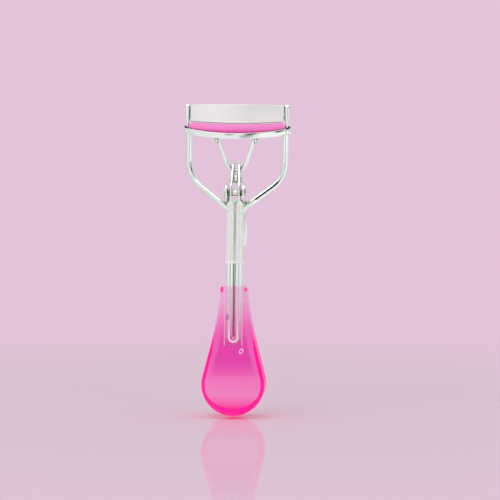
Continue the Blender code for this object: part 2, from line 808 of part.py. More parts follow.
def build_lever_sleeve(parent, material):
    """A tube of racetrack section round the lever's two legs."""
    half_x = LEVER_LEG_X + LEVER_RADIUS + SLEEVE_GAP
    half_y = LEVER_RADIUS + SLEEVE_GAP
    outer = rounded_rectangle(
        half_x + SLEEVE_WALL, half_y + SLEEVE_WALL, half_y + SLEEVE_WALL - SLEEVE_FLAT, 0.0, 6
    )
    inner = rounded_rectangle(half_x, half_y, half_y - SLEEVE_FLAT, 0.0, 6)
    sleeve = make_object("lever_sleeve", prism_z(outer, SLEEVE_BOTTOM, SLEEVE_TOP), material, parent)
    bore = make_cutter(
        "sleeve_bore", prism_z(inner, SLEEVE_BOTTOM - 1.0, SLEEVE_TOP + 1.0), parent
    )
    combine(sleeve, bore, "DIFFERENCE")
    return sleeve


# ---------------------------------------------------------------- lower jaw and link

def eye_prism(side, grow, overshoot):
    """Upright oval round a guide rod, with a top that rises to the back."""
    low, high = [], []
    for i in range(HOLE_SIDES):
        angle = 2.0 * math.pi * i / HOLE_SIDES
        x = side * EYE_X + (EYE_HOLE_HALF_X + grow) * math.cos(angle)
        y = GUIDE_Y + (EYE_HOLE_HALF_Y + grow) * math.sin(angle)
        rise = EYE_RISE * (y - GUIDE_Y + EYE_HOLE_HALF_Y)
        low.append(Vector((x, y, EYE_BOTTOM - overshoot)))
        high.append(Vector((x, y, EYE_FRONT_TOP + rise + overshoot)))
    return loft([low, high])


def jaw_frame(x):
    """A point on the jaws' arc in plan, and the direction outward from the arc."""
    slope = x / math.sqrt(JAW_ARC_RADIUS ** 2 - x ** 2)
    return Vector((x, jaw_y(x), 0.0)), Vector((slope, -1.0, 0.0)).normalized()


def build_jaw_channel(parent, material):
    """A U-shaped trough along the arc, whose front wall hangs lower than its floor."""
    half = JAW_HALF_DEPTH
    inner = half - JAW_WALL
    rings = []
    for i in range(ARC_STEPS + 1):
        x = JAW_ARC_X * (2.0 * i / ARC_STEPS - 1.0)
        point, outward = jaw_frame(x)
        top = bowed(JAW_TOP_ENDS, JAW_TOP_BOW, x)
        bottom = bowed(JAW_BOTTOM_ENDS, JAW_BOTTOM_BOW, x)
        floor = bottom + JAW_WALL
        skirt = skirt_bottom(x)
        section = (
            (inner, top),
            (half, top),
            (half, skirt + SKIRT_CHAMFER),
            (half - SKIRT_CHAMFER, skirt),
            (inner, skirt),
            (inner, bottom),
            (-half + JAW_CHAMFER, bottom),
            (-half, bottom + JAW_CHAMFER),
            (-half, top),
            (-inner, top),
            (-inner, floor),
            (inner, floor),
        )
        rings.append([point + outward * offset + Vector((0.0, 0.0, z)) for offset, z in section])
    return make_object("lower_jaw", loft(rings), material, parent)


def lug_prism(side):
    """A plate that hangs from the trough and takes one end of the link wire."""
    profile = []
    for k in range(LUG_STEPS + 1):
        angle = math.pi + math.pi * k / LUG_STEPS
        profile.append((
            LINK_TOP_Y + LUG_RADIUS * math.cos(angle), LINK_TOP_Z + LUG_RADIUS * math.sin(angle)
        ))
    top = bowed(JAW_BOTTOM_ENDS, JAW_BOTTOM_BOW, LUG_X) + JAW_WALL / 2
    profile += [(LINK_TOP_Y + LUG_RADIUS, top), (LINK_TOP_Y - LUG_RADIUS, top)]
    return prism_x(profile, side * LUG_X - LUG_HALF_THICKNESS, side * LUG_X + LUG_HALF_THICKNESS)


def build_lower_jaw(parent, material):
    jaw = build_jaw_channel(parent, material)
    for side, name in ((-1, "left"), (1, "right")):
        eye = make_cutter(name + "_eye", eye_prism(side, EYE_WALL, 0.0), parent)
        combine(jaw, eye, "UNION")
        combine(jaw, make_cutter(name + "_lug", lug_prism(side), parent), "UNION")
    for side, name in ((-1, "left"), (1, "right")):
        hole = make_cutter(name + "_eye_hole", eye_prism(side, 0.0, EYE_CUT_REACH), parent)
        combine(jaw, hole, "DIFFERENCE")
    bar = ((-LUG_CUT_REACH, LUG_HOLE_RADIUS), (LUG_CUT_REACH, LUG_HOLE_RADIUS))
    holes = make_cutter("lug_holes", lathe_x(bar, HOLE_SIDES, (LINK_TOP_Y, LINK_TOP_Z)), parent)
    combine(jaw, holes, "DIFFERENCE")
    return jaw


def build_silicone_pad(parent, material):
    """A strip that fills the trough and swells into a round top above it."""
    rings = []
    low = JAW_HALF_DEPTH - JAW_WALL - PAD_CLEARANCE
    for i in range(ARC_STEPS + 1):
        x = PAD_X * (2.0 * i / ARC_STEPS - 1.0)
        point, outward = jaw_frame(x)
        rim = bowed(JAW_TOP_ENDS, JAW_TOP_BOW, x)
        lift = eased((abs(x) - PAD_LIFT_START_X) / PAD_LIFT_LENGTH)
        trough = bowed(JAW_BOTTOM_ENDS, JAW_BOTTOM_BOW, x) + JAW_WALL + PAD_CLEARANCE
        bottom = trough + (rim + PAD_LIFT - trough) * lift
        top = bowed(PLATE_BOTTOM_ENDS, PLATE_BOTTOM_BOW, x) - PAD_GAP
        crown = min(PAD_CROWN, top - rim - 2.0 * PAD_LIFT)
        section = [(-low, bottom), (-low, rim + 0.2), (-PAD_HALF_WIDTH, rim + 0.45)]
        section += [
            (-PAD_HALF_WIDTH * math.cos(angle), top - crown + crown * math.sin(angle))
            for angle in (math.pi * k / PAD_CROWN_STEPS for k in range(PAD_CROWN_STEPS + 1))
        ]
        section += [(PAD_HALF_WIDTH, rim + 0.45), (low, rim + 0.2), (low, bottom)]
        rings.append([point + outward * offset + Vector((0.0, 0.0, z)) for offset, z in section])
    return make_object("silicone_pad", loft(rings), material, parent)


def build_link_wire(parent, material):
    """V-shaped wire: one bar through the ears, two legs, and two ends through the lugs."""
    foot_y, foot_z = link_foot()
    knee = LINK_KNEE_RISE / (LINK_TOP_Z - foot_z)
    corners = [
        Vector((LINK_END_X, LINK_TOP_Y, LINK_TOP_Z)),
        Vector((LINK_HEAD_X, LINK_TOP_Y, LINK_TOP_Z)),
        Vector((LINK_KNEE_X, foot_y + (LINK_TOP_Y - foot_y) * knee, foot_z + LINK_KNEE_RISE)),
        Vector((LINK_FOOT_X, foot_y, foot_z)),
        Vector((0.0, foot_y, foot_z)),
    ]
    path = rounded_path(corners, (LINK_FILLET, LINK_KNEE_FILLET, LINK_FILLET), LINK_BEND_STEPS)
    sections = [(LINK_RADIUS, LINK_RADIUS, 2.0)] * len(path)
    rings = sweep_rings(path, sections, LINK_SIDES, (0.0, 1.0, 0.0))
    link = make_object("link_wire", loft(rings, cap_end=False), material, parent)
    mirror_x(link)
    return link


def build_link_collar(side, parent, material):
    ends = sorted((side * COLLAR_START_X, side * COLLAR_END_X))
    name = "right_link_collar" if side > 0 else "left_link_collar"
    centre = (LINK_TOP_Y, LINK_TOP_Z)
    shape = tube_x(*ends, COLLAR_INNER_RADIUS, COLLAR_OUTER_RADIUS, HOLE_SIDES, centre)
    return make_object(name, shape, material, parent)


# ---------------------------------------------------------------- assembly

def build():
    clear_scene()
    chrome = make_material("polished_chrome", (0.83, 0.83, 0.82), 0.12, 1.0)
    satin = make_material("bright_plate", (0.86, 0.87, 0.86), 0.22, 1.0)
    silicone = make_material("pink_silicone", (0.93, 0.24, 0.58), 0.5, 0.0)
    pink = make_material("pink_grip", (0.94, 0.2, 0.6), 0.25, 0.0)
    clear = make_material("clear_sleeve", (0.95, 0.88, 0.93), 0.15, 0.0, alpha=0.35)

    frame = make_empty("frame_origin", location=PIVOT_WORLD)
    lever = make_empty("lever_axis", parent=frame, lean=-LEVER_LEAN)
    jaw = make_empty("jaw_axis", parent=frame, location=(0.0, LINK_TOP_Y, LINK_TOP_Z))
    link = make_empty("link_axis", parent=jaw)

    build_frame_wire(frame, chrome)
    build_upper_jaw_plate(frame, satin)
    build_pivot_bracket(frame, chrome)
    build_pivot_rivet(frame, chrome)
    build_paddle(
        "rear_paddle",
        REAR_PADDLE_Y,
        TAIL_X + FRAME_RADIUS + POCKET_CLEARANCE,
        FRAME_RADIUS + POCKET_CLEARANCE,
        FRAME_BOTTOM - POCKET_DEPTH_BELOW_WIRE,
        frame,
        pink,
    )

    build_lever_wire(lever, chrome)
    build_spacer(lever, chrome)
    build_lever_sleeve(lever, clear)
    build_paddle(
        "front_paddle",
        0.0,
        LEVER_LEG_X + LEVER_RADIUS + POCKET_CLEARANCE,
        LEVER_RADIUS + POCKET_CLEARANCE,
        LEVER_BOTTOM - POCKET_DEPTH_BELOW_WIRE,
        lever,
        pink,
    )

    build_lower_jaw(jaw, chrome)
    build_silicone_pad(jaw, silicone)
    build_link_wire(link, chrome)
    build_link_collar(-1, link, chrome)
    build_link_collar(1, link, chrome)


build()
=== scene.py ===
"""The looks of the eyelash curler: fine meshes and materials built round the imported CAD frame.

Shapes are written in millimetres about the pivot rivet's centre, as in the design: +X to the right,
+Y to the back, +Z up. add_piece puts them on the body they belong to. A name in _R is a radius.
"""

import json
from functools import partialmethod
from math import asin, copysign, cos, degrees, pi, radians, sin, sqrt, tan

import bmesh
import bpy
from mathutils import Matrix, Vector, kdtree


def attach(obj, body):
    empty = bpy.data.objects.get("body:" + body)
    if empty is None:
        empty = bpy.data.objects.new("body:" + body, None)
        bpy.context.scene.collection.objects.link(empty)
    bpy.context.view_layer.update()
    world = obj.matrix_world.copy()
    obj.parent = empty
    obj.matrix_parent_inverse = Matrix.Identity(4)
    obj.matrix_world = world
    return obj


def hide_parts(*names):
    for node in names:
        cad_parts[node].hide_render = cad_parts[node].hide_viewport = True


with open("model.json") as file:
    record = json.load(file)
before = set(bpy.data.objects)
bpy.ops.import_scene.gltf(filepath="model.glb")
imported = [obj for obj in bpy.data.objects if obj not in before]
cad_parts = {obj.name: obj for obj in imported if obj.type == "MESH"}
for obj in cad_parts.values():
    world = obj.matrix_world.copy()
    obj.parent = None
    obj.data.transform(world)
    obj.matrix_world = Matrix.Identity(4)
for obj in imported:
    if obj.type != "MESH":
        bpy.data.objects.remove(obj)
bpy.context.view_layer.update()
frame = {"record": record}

MM = 0.001
JOINTS = {joint["name"]: joint for joint in frame["record"]["behaviour"]["joints"]}
PIVOT = Vector(JOINTS["lever_pivot"]["pos_m"])
LINK_AXIS = (Vector(JOINTS["link_pivot"]["pos_m"]) - PIVOT) / MM
LEVER_LEAN = radians(-5)

# frame wire
FRAME_R = 1.25
GUIDE_X = 18.5
GUIDE_Y = 11.5
ROUND_TOP_Z = 23.3
BLADE_X = 19.05
BLADE_START_Z = 25.1
BLADE_TOP_Z = 33.75
BLADE_FOOT_HALF_THICK = 0.55
BLADE_TOP_HALF_THICK = 1.1
BLADE_HALF_WIDTH = 2.25
BLADE_ROUNDING = 1.6
BLADE_POWER = 4.5
ROUND_POWER = 2.0
SHOULDER_Z = 5.3
SHOULDER_FILLET = 12.0
TAIL_X = 1.65
TAIL_Y = 3.6
NECK_Z = -7.0
NECK_FILLET = 6.0
SPREAD_X = 6.4
SPREAD_FILLET = 6.0
FRAME_BOTTOM = -58.0

# upper jaw plate
JAW_ARC_R = 31.2
JAW_APEX_Y = 3.4
PLATE_HALF_THICK = 0.4
PLATE_ARC_X = 16.6
PLATE_FOLD_R = 1.0
PLATE_BACK_Y = 13.4
PLATE_TOP_Z = 33.3
PLATE_TOP_ARCH = 0.3
PLATE_BOTTOM_ENDS = 26.8
PLATE_BOTTOM_BOW = 0.55
PLATE_LIP_R = 0.5
FLANGE_CLEARANCE = 0.15
FLANGE_TAPER = 1.6
FLANGE_DROP = 0.5

# lower jaw
JAW_HALF_DEPTH = 2.2
JAW_WALL = 0.6
JAW_TOP_ENDS = 24.4
JAW_TOP_BOW = 1.75
JAW_BOTTOM_ENDS = 22.2
JAW_BOTTOM_BOW = 0.9
JAW_OUTER_ROUNDING = 0.9
JAW_INNER_ROUNDING = 0.4
JAW_ARC_X = 17.7
JAW_EDGE = 0.1
SKIRT_BOTTOM_ENDS = 21.75
SKIRT_BOTTOM_BOW = 1.4
SKIRT_FADE = 3.0
EYE_X = 18.75
EYE_HOLE_HALF_X = 1.65
EYE_HOLE_HALF_Y = 2.4
EYE_WALL = 0.5
EYE_BOTTOM = 22.32
EYE_FRONT_TOP = 24.1
EYE_RISE = 0.22
LUG_X = 7.6
LUG_HALF_THICK = 0.25
LUG_R = 1.65
LUG_HOLE_R = 0.9

# silicone pad
PAD_X = 17.9
PAD_GAP = 0.3
PAD_HALF_WIDTH = 1.6
PAD_CLEARANCE = 0.25
PAD_LIFT_START_X = 15.6
PAD_LIFT_LENGTH = 1.2
PAD_END_ROUNDING = 0.8
PAD_CROWN = 1.4

# lever wire
LEVER_R = 1.55
LEVER_LEG_X = 1.65
LEVER_BOTTOM = -57.8
ARM_ANGLE = radians(30.5)
ARM_LENGTH = 10.7
LINK_HOLE_DISTANCE = 10.2
EAR_HALF_THICK = 0.525
EAR_HALF_WIDTH = 3.2
EAR_POWER = 5.0
EAR_PIVOT_X = 1.6
EAR_TIP_X = 1.15
EAR_FLAT_Z = -1.5
EAR_ROUND_Z = -4.5
SPACER_DISTANCE = 6.4

# rivets and bush
PIVOT_R = 1.15
PIVOT_HOLE_R = 1.27
PIVOT_HEAD_R = 1.8
PIVOT_HEAD_HEIGHT = 1.1
PIVOT_TAIL_R = 1.45
PIVOT_TAIL_HEIGHT = 0.5
SPACER_R = 0.8
SPACER_HOLE_R = 0.92
SPACER_HEAD_R = 1.66
SPACER_HEAD_X = 2.0
SPACER_END_X = 2.75
BUSH_R = 1.8
BUSH_HALF_LENGTH = 0.62
TUBE_EDGE = 0.15

# link wire
LINK_R = 0.75
LINK_HOLE_R = 1.35
LINK_FOOT_X = 1.95
LINK_KNEE_X = 3.9
LINK_KNEE_RISE = 3.0
LINK_HEAD_X = 6.7
LINK_END_X = 8.55
LINK_END_ROUNDING = 0.25
LINK_FILLET = 0.7
LINK_KNEE_FILLET = 3.0
COLLAR_INNER_R = 0.83
COLLAR_OUTER_R = 1.15
COLLAR_START_X = 7.92
COLLAR_END_X = 8.42

# pivot bracket
BRACKET_INNER_X = 2.9
BRACKET_SHEET = 0.8
BRACKET_EAR_R = 3.7
BRACKET_EAR_BOTTOM = -3.3
BRACKET_ARC_START = 52.0
BRACKET_ARC_TURN = 245.0
BRACKET_SHOULDER_Z = -0.4
BRACKET_WEB_Y = 5.15
BRACKET_WEB_BACK_Y = 5.85
BRACKET_NOTCH_X = 2.45
BRACKET_NOTCH_Z = -3.0
BRACKET_BEND_R = 0.9
BRACKET_CORE_R = 0.3
BRACKET_EDGE = 0.12
BAND_TOP = -10.4
BAND_BOTTOM = -20.3
BAND_HALF_WIDTH = 3.85
BAND_FRONT_Y = 1.35
BAND_BACK_Y = 5.9
BAND_CORNER = 1.9
SEAM_REACH = 0.5
SEAM_HALF_DEPTH = 0.8
SEAM_CORNER = 0.6
SEAM_INSET = 0.15
SEAM_OVERLAP = 0.4
SEAM_GROOVE_DEPTH = 0.55
SEAM_GROOVE_HALF_WIDTH = 0.06

# lever sleeve
SLEEVE_GAP = 0.07
SLEEVE_WALL = 0.22
SLEEVE_FLAT = 0.02
SLEEVE_TOP = -4.6
SLEEVE_BOTTOM = -27.0

# paddles
PADDLE_HALF_THICK = 3.0
PADDLE_TOP_Z = -35.6
PADDLE_TOP_HALF_WIDTH = 5.35
PADDLE_CORNER_R = 1.4
PADDLE_EDGE_R = 1.6
PADDLE_WAIST_HANDLE = Vector((5.6, -50))
PADDLE_HIP_HANDLE = Vector((10.3, -63))
PADDLE_HIP_Z = -71.5
PADDLE_ROUND_R = 12.1
PADDLE_ROUND_Z = -73.1
PADDLE_SPINE_TOP = PADDLE_TOP_Z - 2.2
POCKET_CLEARANCE = 0.28
POCKET_DEPTH_BELOW_WIRE = 0.4

# facets
WIRE_SIDES = 40
LINK_SIDES = 32
BEND_STEPS = 20
LINK_BEND_STEPS = 14
HOLE_SIDES = 64
ARC_STEPS = 72
OVERSHOOT = 1.0


# -------- pieces

def world_matrix(leaning):
    """From millimetres about the pivot to the world; the lever's pieces lean."""
    lean = Matrix.Rotation(LEVER_LEAN, 4, "X") if leaning else Matrix.Identity(4)
    return Matrix.Translation(PIVOT) @ lean @ Matrix.Scale(MM, 4)


def make_thing(name, shape, leaning=False):
    """Turns a bmesh in the design's millimetres into an object in the world."""
    bmesh.ops.recalc_face_normals(shape, faces=shape.faces)
    shape.transform(world_matrix(leaning))
    mesh = bpy.data.meshes.new(name)
    shape.to_mesh(mesh)
    shape.free()
    thing = bpy.data.objects.new(name, mesh)
    bpy.context.scene.collection.objects.link(thing)
    return thing


def apply_modifiers(thing):
    graph = bpy.context.evaluated_depsgraph_get()
    finished = bpy.data.meshes.new_from_object(thing.evaluated_get(graph))
    thing.modifiers.clear()
    thing.data = finished


def mirror_x(thing):
    modifier = thing.modifiers.new("other_half", "MIRROR")
    modifier.use_axis = (True, False, False)
    modifier.merge_threshold = 0.00001
    apply_modifiers(thing)


def cut(thing, shapes, operation="DIFFERENCE", leaning=False):
    """Applies a Boolean with each shape in turn."""
    for shape in shapes:
        tool = make_thing("tool", shape, leaning)
        modifier = thing.modifiers.new("cut", "BOOLEAN")
        modifier.object = tool
        modifier.operation = operation
        modifier.solver = "EXACT"
        apply_modifiers(thing)
        bpy.data.objects.remove(tool, do_unlink=True)


def soften_edges(thing, width):
    """Bevels the sharp edges, so that they catch the light."""
    modifier = thing.modifiers.new("edges", "BEVEL")
    modifier.width = width * MM
    modifier.segments = 2
    modifier.limit_method = "ANGLE"
    modifier.angle_limit = radians(35)
    apply_modifiers(thing)


def add_piece(thing, body, material, smooth_angle=40):
    """Puts a finished mesh in place of the CAD node of its name."""
    thing.data.materials.clear()
    thing.data.materials.append(material)
    for face in thing.data.polygons:
        face.material_index = 0
    thing.data.shade_smooth()
    thing.data.set_sharp_from_angle(angle=radians(smooth_angle))
    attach(thing, body)
    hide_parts(thing.name.removesuffix("_fine"))


# -------- shape helpers

def smoothstep(value):
    t = min(1, max(0, value))
    return t * t * (3 - 2 * t)


def mix(a, b, t):
    return a + (b - a) * t


def quarter_turn(steps):
    """Angles from just above 0 to a right angle."""
    return [pi / 2 * k / steps for k in range(1, steps + 1)]


def arc(centre, radius, start, end, steps):
    """Points on a circle from one angle to another, in degrees, with both ends."""
    angles = [radians(mix(start, end, k / steps)) for k in range(steps + 1)]
    return [(centre[0] + radius * cos(a), centre[1] + radius * sin(a)) for a in angles]


def loft(rings, cap_start=True, cap_end=True):
    """Skins a row of rings and closes its ends."""
    shape = bmesh.new()
    rows = [[shape.verts.new(point) for point in ring] for ring in rings]
    count = len(rows[0])
    for row, next_row in zip(rows, rows[1:]):
        for i in range(count):
            j = (i + 1) % count
            shape.faces.new((row[i], row[j], next_row[j], next_row[i]))
    if cap_start:
        shape.faces.new(reversed(rows[0]))
    if cap_end:
        shape.faces.new(rows[-1])
    return shape


def tube(rings):
    """Skins a row of rings that ends where it starts."""
    shape = loft(rings, False, False)
    bmesh.ops.remove_doubles(shape, verts=shape.verts, dist=1e-5)
    return shape


def superellipse(half_side, half_width, power, sides):
    """Section that runs from round (power 2) to flat with round edges."""
    points = []
    for i in range(sides):
        angle = 2 * pi * (i + 0.5) / sides
        c, s = cos(angle), sin(angle)
        points.append((
            half_side * copysign(abs(c) ** (2 / power), c),
            half_width * copysign(abs(s) ** (2 / power), s),
        ))
    return points


def sweep(path, sections, sides, side):
    """Sweeps (half size along side, half size across, power) along a path."""
    rings = []
    side = Vector(side)
    for i, (point, section) in enumerate(zip(path, sections)):
        before = path[max(i - 1, 0)]
        after = path[min(i + 1, len(path) - 1)]
        tangent = (after - before).normalized()
        if i == len(path) - 1 and abs(point.x) < 1e-9:
            tangent = Vector((-1, 0, 0))
        side = (side - tangent * side.dot(tangent)).normalized()
        across = tangent.cross(side)
        rings.append([point + side * u + across * v for u, v in superellipse(*section, sides)])
    return loft(rings, cap_end=False)


def beaten_stretch(start, end, flat, round_wire, steps, lateness=1):
    """Path and sections from beaten flat to round; lateness delays the growth in thickness."""
    path, sections = [], []
    for k in range(1, steps + 1):
        t = k / steps
        s = smoothstep(t)
        path.append(Vector((mix(start[0], end[0], s), start[1], mix(start[2], end[2], t))))
        shares = (s ** lateness, s, s)
        sections.append(tuple(mix(a, b, share) for a, b, share in zip(flat, round_wire, shares)))
    return path, sections


def rounded_path(corners, radii, steps=BEND_STEPS):
    """A polyline whose inner corners are turned into arcs of the given radii."""
    path = [corners[0]]
    for before, corner, after, radius in zip(corners, corners[1:], corners[2:], radii):
        into = (corner - before).normalized()
        out = (after - corner).normalized()
        turn = into.angle(out)
        reach = radius * tan(turn / 2)
        centre = corner + (out - into).normalized() * (radius / cos(turn / 2))
        axis = into.cross(out).normalized()
        first = corner - into * reach - centre
        path += [centre + Matrix.Rotation(turn * k / steps, 3, axis) @ first for k in range(steps + 1)]
    path.append(corners[-1])
    return path


def hairpin(x, y, bottom):
    """Quarter circle from the leg at x to the middle of a U-turn."""
    bend = arc((0, bottom + x), x, 0, -90, BEND_STEPS)[:-1]
    return [Vector((across, y, z)) for across, z in bend] + [Vector((0, y, bottom))]


def lathe_x(profile, centre=(0, 0), sides=HOLE_SIDES):
    """Solid turned about an axis along X from (x, radius) points."""
    return loft(circles_x(profile, centre, sides))


def circles_x(profile, centre, sides):
    return [
        [Vector((x, y, z)) for y, z in arc(centre, radius, 0, 360, sides)[:-1]]
        for x, radius in profile
    ]


def tube_x(start, end, inner, outer, centre):
    """Open tube along X with rounded rims."""
    rim = outer - TUBE_EDGE
    profile = [(start, inner)]
    profile += arc((start + TUBE_EDGE, rim), TUBE_EDGE, 180, 90, 4)
    profile += arc((end - TUBE_EDGE, rim), TUBE_EDGE, 90, 0, 4)
    profile += [(end, inner), (start, inner)]
    return tube(circles_x(profile, centre, HOLE_SIDES))


def rounded_box(half_x, half_y, radius, centre_y, steps=12):
    """Plan outline with round corners."""
    points = []
    for corner, (sx, sy) in enumerate(((1, 1), (-1, 1), (-1, -1), (1, -1))):
        centre = (sx * (half_x - radius), centre_y + sy * (half_y - radius))
        points += arc(centre, radius, 90 * corner, 90 * (corner + 1), steps)
    return points


def prism_z(outline, bottom, top):
    return loft([[Vector((x, y, z)) for x, y in outline] for z in (bottom, top)])


def prism_y(outline, start, end):
    return loft([[Vector((x, y, z)) for x, z in outline] for y in (start, end)])


def prism_x(outline, start, end):
    return loft([[Vector((x, y, z)) for y, z in outline] for x in (start, end)])


def box(low, high):
    corners = ((low[0], low[1]), (high[0], low[1]), (high[0], high[1]), (low[0], high[1]))
    return prism_z(corners, low[2], high[2])


# -------- shared rules of the design

def jaw_y(x):
    """Both jaws follow one arc in plan, bulging to the front."""
    return JAW_APEX_Y + JAW_ARC_R - sqrt(JAW_ARC_R ** 2 - x ** 2)


def jaw_ring(x, section):
    """A section of (offset to the front, z) points, set across the jaws' arc."""
    slope = x / sqrt(JAW_ARC_R ** 2 - x ** 2)
    outward = Vector((slope, -1, 0)).normalized()
    point = Vector((x, jaw_y(x), 0))
    return [point + outward * offset + Vector((0, 0, z)) for offset, z in section]


def bowed(ends, bow, x):
    """A height that dips by bow in the middle of the jaw."""
    return ends - bow * (1 - (x / GUIDE_X) ** 2)


def skirt_bottom(x):
    """Lower edge of the lower jaw's front wall, which runs out towards the eyes."""
    floor = bowed(JAW_BOTTOM_ENDS, JAW_BOTTOM_BOW, x)
    skirt = bowed(SKIRT_BOTTOM_ENDS, SKIRT_BOTTOM_BOW, x)
    skirt = mix(floor, skirt, smoothstep((JAW_ARC_X - abs(x)) / SKIRT_FADE))
    return min(skirt, floor - 0.02)


def blade_half_thickness(z):
    """The blade is thinnest at its foot and thickens evenly to its top."""
    share = (z - BLADE_START_Z) / (BLADE_TOP_Z - BLADE_START_Z)
    return mix(BLADE_FOOT_HALF_THICK, BLADE_TOP_HALF_THICK, share)


def blade_inner_x(z):
    """The blade's inner side, which the upper jaw's flange follows."""
    return BLADE_X - blade_half_thickness(z)


def arm_point(distance):
    """Point on the ears' centreline, in the lever's own frame, as (y, z)."""
    return distance * sin(ARM_ANGLE), distance * cos(ARM_ANGLE)


def ear_point(distance):
    """The right ear's middle; the ears lean together towards their tips."""
    y, z = arm_point(distance)
    return Vector((mix(EAR_PIVOT_X, EAR_TIP_X, distance / ARM_LENGTH), y, z))


def link_foot():
    """Axis of the link wire in the ears, in the frame's directions, as (y, z)."""
    angle = ARM_ANGLE - LEVER_LEAN
    return LINK_HOLE_DISTANCE * sin(angle), LINK_HOLE_DISTANCE * cos(angle)


# -------- frame pieces

def build_frame_wire(material):
    """One wire: blade, guide rod, diagonal and tail down to the hairpin, then mirrored."""
    path, sections = [], []
    for angle in quarter_turn(12):
        # the rounded top is a quarter ellipse
        z = BLADE_TOP_Z - BLADE_ROUNDING * (1 - cos(angle))
        path.append(Vector((BLADE_X, GUIDE_Y, z)))
        half = blade_half_thickness(z) * min(1, 0.45 + sin(angle))
        sections.append((half, BLADE_HALF_WIDTH * sin(angle), BLADE_POWER))
    for k in range(1, 9):
        z = mix(BLADE_TOP_Z - BLADE_ROUNDING, BLADE_START_Z, k / 8)
        path.append(Vector((BLADE_X, GUIDE_Y, z)))
        sections.append((blade_half_thickness(z), BLADE_HALF_WIDTH, BLADE_POWER))
    round_wire = (FRAME_R, FRAME_R, ROUND_POWER)
    beaten_path, beaten_sections = beaten_stretch(
        (BLADE_X, GUIDE_Y, BLADE_START_Z), (GUIDE_X, GUIDE_Y, ROUND_TOP_Z),
        (BLADE_FOOT_HALF_THICK, BLADE_HALF_WIDTH, BLADE_POWER), round_wire, 12,
    )
    bottom = FRAME_BOTTOM + FRAME_R
    slope = (SHOULDER_Z - NECK_Z) / (GUIDE_X - TAIL_X)
    round_path = rounded_path(
        [
            beaten_path[-1],
            Vector((GUIDE_X, GUIDE_Y, SHOULDER_Z)),
            Vector((SPREAD_X, TAIL_Y, NECK_Z + slope * (SPREAD_X - TAIL_X))),
            Vector((TAIL_X, TAIL_Y, NECK_Z)),
            Vector((TAIL_X, TAIL_Y, bottom + TAIL_X + 1)),
        ],
        (SHOULDER_FILLET, SPREAD_FILLET, NECK_FILLET),
    )[1:]
    round_path += hairpin(TAIL_X, TAIL_Y, bottom)
    path += beaten_path + round_path
    sections += beaten_sections + [round_wire] * len(round_path)
    shape = sweep(path, sections, WIRE_SIDES, (1, 0, 0))
    thing = make_thing("frame_wire_fine", shape)
    mirror_x(thing)
    add_piece(thing, "frame", material)


def plate_path():
    """The plate's right half in plan: arc, fold, then the flange in the blade."""
    xs = [PLATE_ARC_X * i / (ARC_STEPS // 2) for i in range(ARC_STEPS // 2 + 1)]
    path = [Vector((x, jaw_y(x), 0)) for x in xs]
    along = (path[-1] - path[-2]).normalized()
    flange_x = blade_inner_x(BLADE_START_Z) - FLANGE_CLEARANCE - PLATE_HALF_THICK
    corner = path[-1] + along * ((flange_x - path[-1].x) / along.x)
    back = Vector((flange_x, PLATE_BACK_Y, 0))
    fold = rounded_path([path[-1], corner, back], (PLATE_FOLD_R,), 14)
    flange = [fold[-2].lerp(back, k / 8) for k in range(1, 9)]
    return path + fold[1:-1] + flange


def plate_section(top, bottom, lip):
    """The sheet as (offset, z): a thin wall with a round bead along the bottom."""
    half = PLATE_HALF_THICK
    edge = arc((0, top - half), half, 180, 0, 6)
    return edge + arc((0, bottom + lip), lip, 62, -242, 16)


def build_upper_jaw_plate(material):
    """Curved sheet whose flange narrows and follows the blade's lean."""
    path = plate_path()
    start_y = jaw_y(PLATE_ARC_X)
    rings = []
    for i, point in enumerate(path):
        before = path[max(i - 1, 0)]
        after = path[min(i + 1, len(path) - 1)]
        tangent = (after - before).normalized() if i else Vector((1, 0, 0))
        outward = Vector((tangent.y, -tangent.x, 0))
        flange = max(0, (point.y - start_y) / (PLATE_BACK_Y - start_y))
        arch = PLATE_TOP_ARCH * (1 - min(1, point.x / GUIDE_X) ** 2)
        top = PLATE_TOP_Z + arch - FLANGE_DROP * flange
        bottom = bowed(PLATE_BOTTOM_ENDS, PLATE_BOTTOM_BOW, point.x) + FLANGE_TAPER * flange
        lip = PLATE_LIP_R * (1 - 0.38 * smoothstep(3 * flange))
        shift = min(1, 2.5 * flange)
        ring = []
        for offset, z in plate_section(top, bottom, lip):
            place = point + outward * offset
            lean = blade_inner_x(z) - blade_inner_x(BLADE_START_Z)
            x = place.x + shift * lean if i else 0
            ring.append(Vector((x, place.y, z)))
        rings.append(ring)
    thing = make_thing("upper_jaw_plate_fine", loft(rings, cap_start=False))
    mirror_x(thing)
    add_piece(thing, "frame", material)


def bracket_side_view():
    """The bracket from the side: round ears, their tails, and the web's strip."""
    start, end = BRACKET_ARC_START, BRACKET_ARC_START + BRACKET_ARC_TURN
    inner_y, outer_y = BRACKET_WEB_Y - 0.1, BRACKET_WEB_BACK_Y + 0.5
    return arc((0, 0), BRACKET_EAR_R, start, end, ARC_STEPS) + [
        (inner_y, BRACKET_EAR_BOTTOM),
        (inner_y, BAND_BOTTOM + 0.3),
        (outer_y, BAND_BOTTOM + 0.3),
        (outer_y, BRACKET_SHOULDER_Z),
    ]


def seam_outline():
    """The band's folded seam, a lip on the right, as (x, z)."""
    inner, outer = BAND_HALF_WIDTH - SEAM_OVERLAP, BAND_HALF_WIDTH + SEAM_REACH
    low, high = BAND_BOTTOM + SEAM_INSET, BAND_TOP - SEAM_INSET
    return [
        (inner, low),
        (outer - SEAM_CORNER, low),
        (outer, low + SEAM_CORNER),
        (outer, high - SEAM_CORNER),
        (outer - SEAM_CORNER, high),
        (inner, high),
    ]


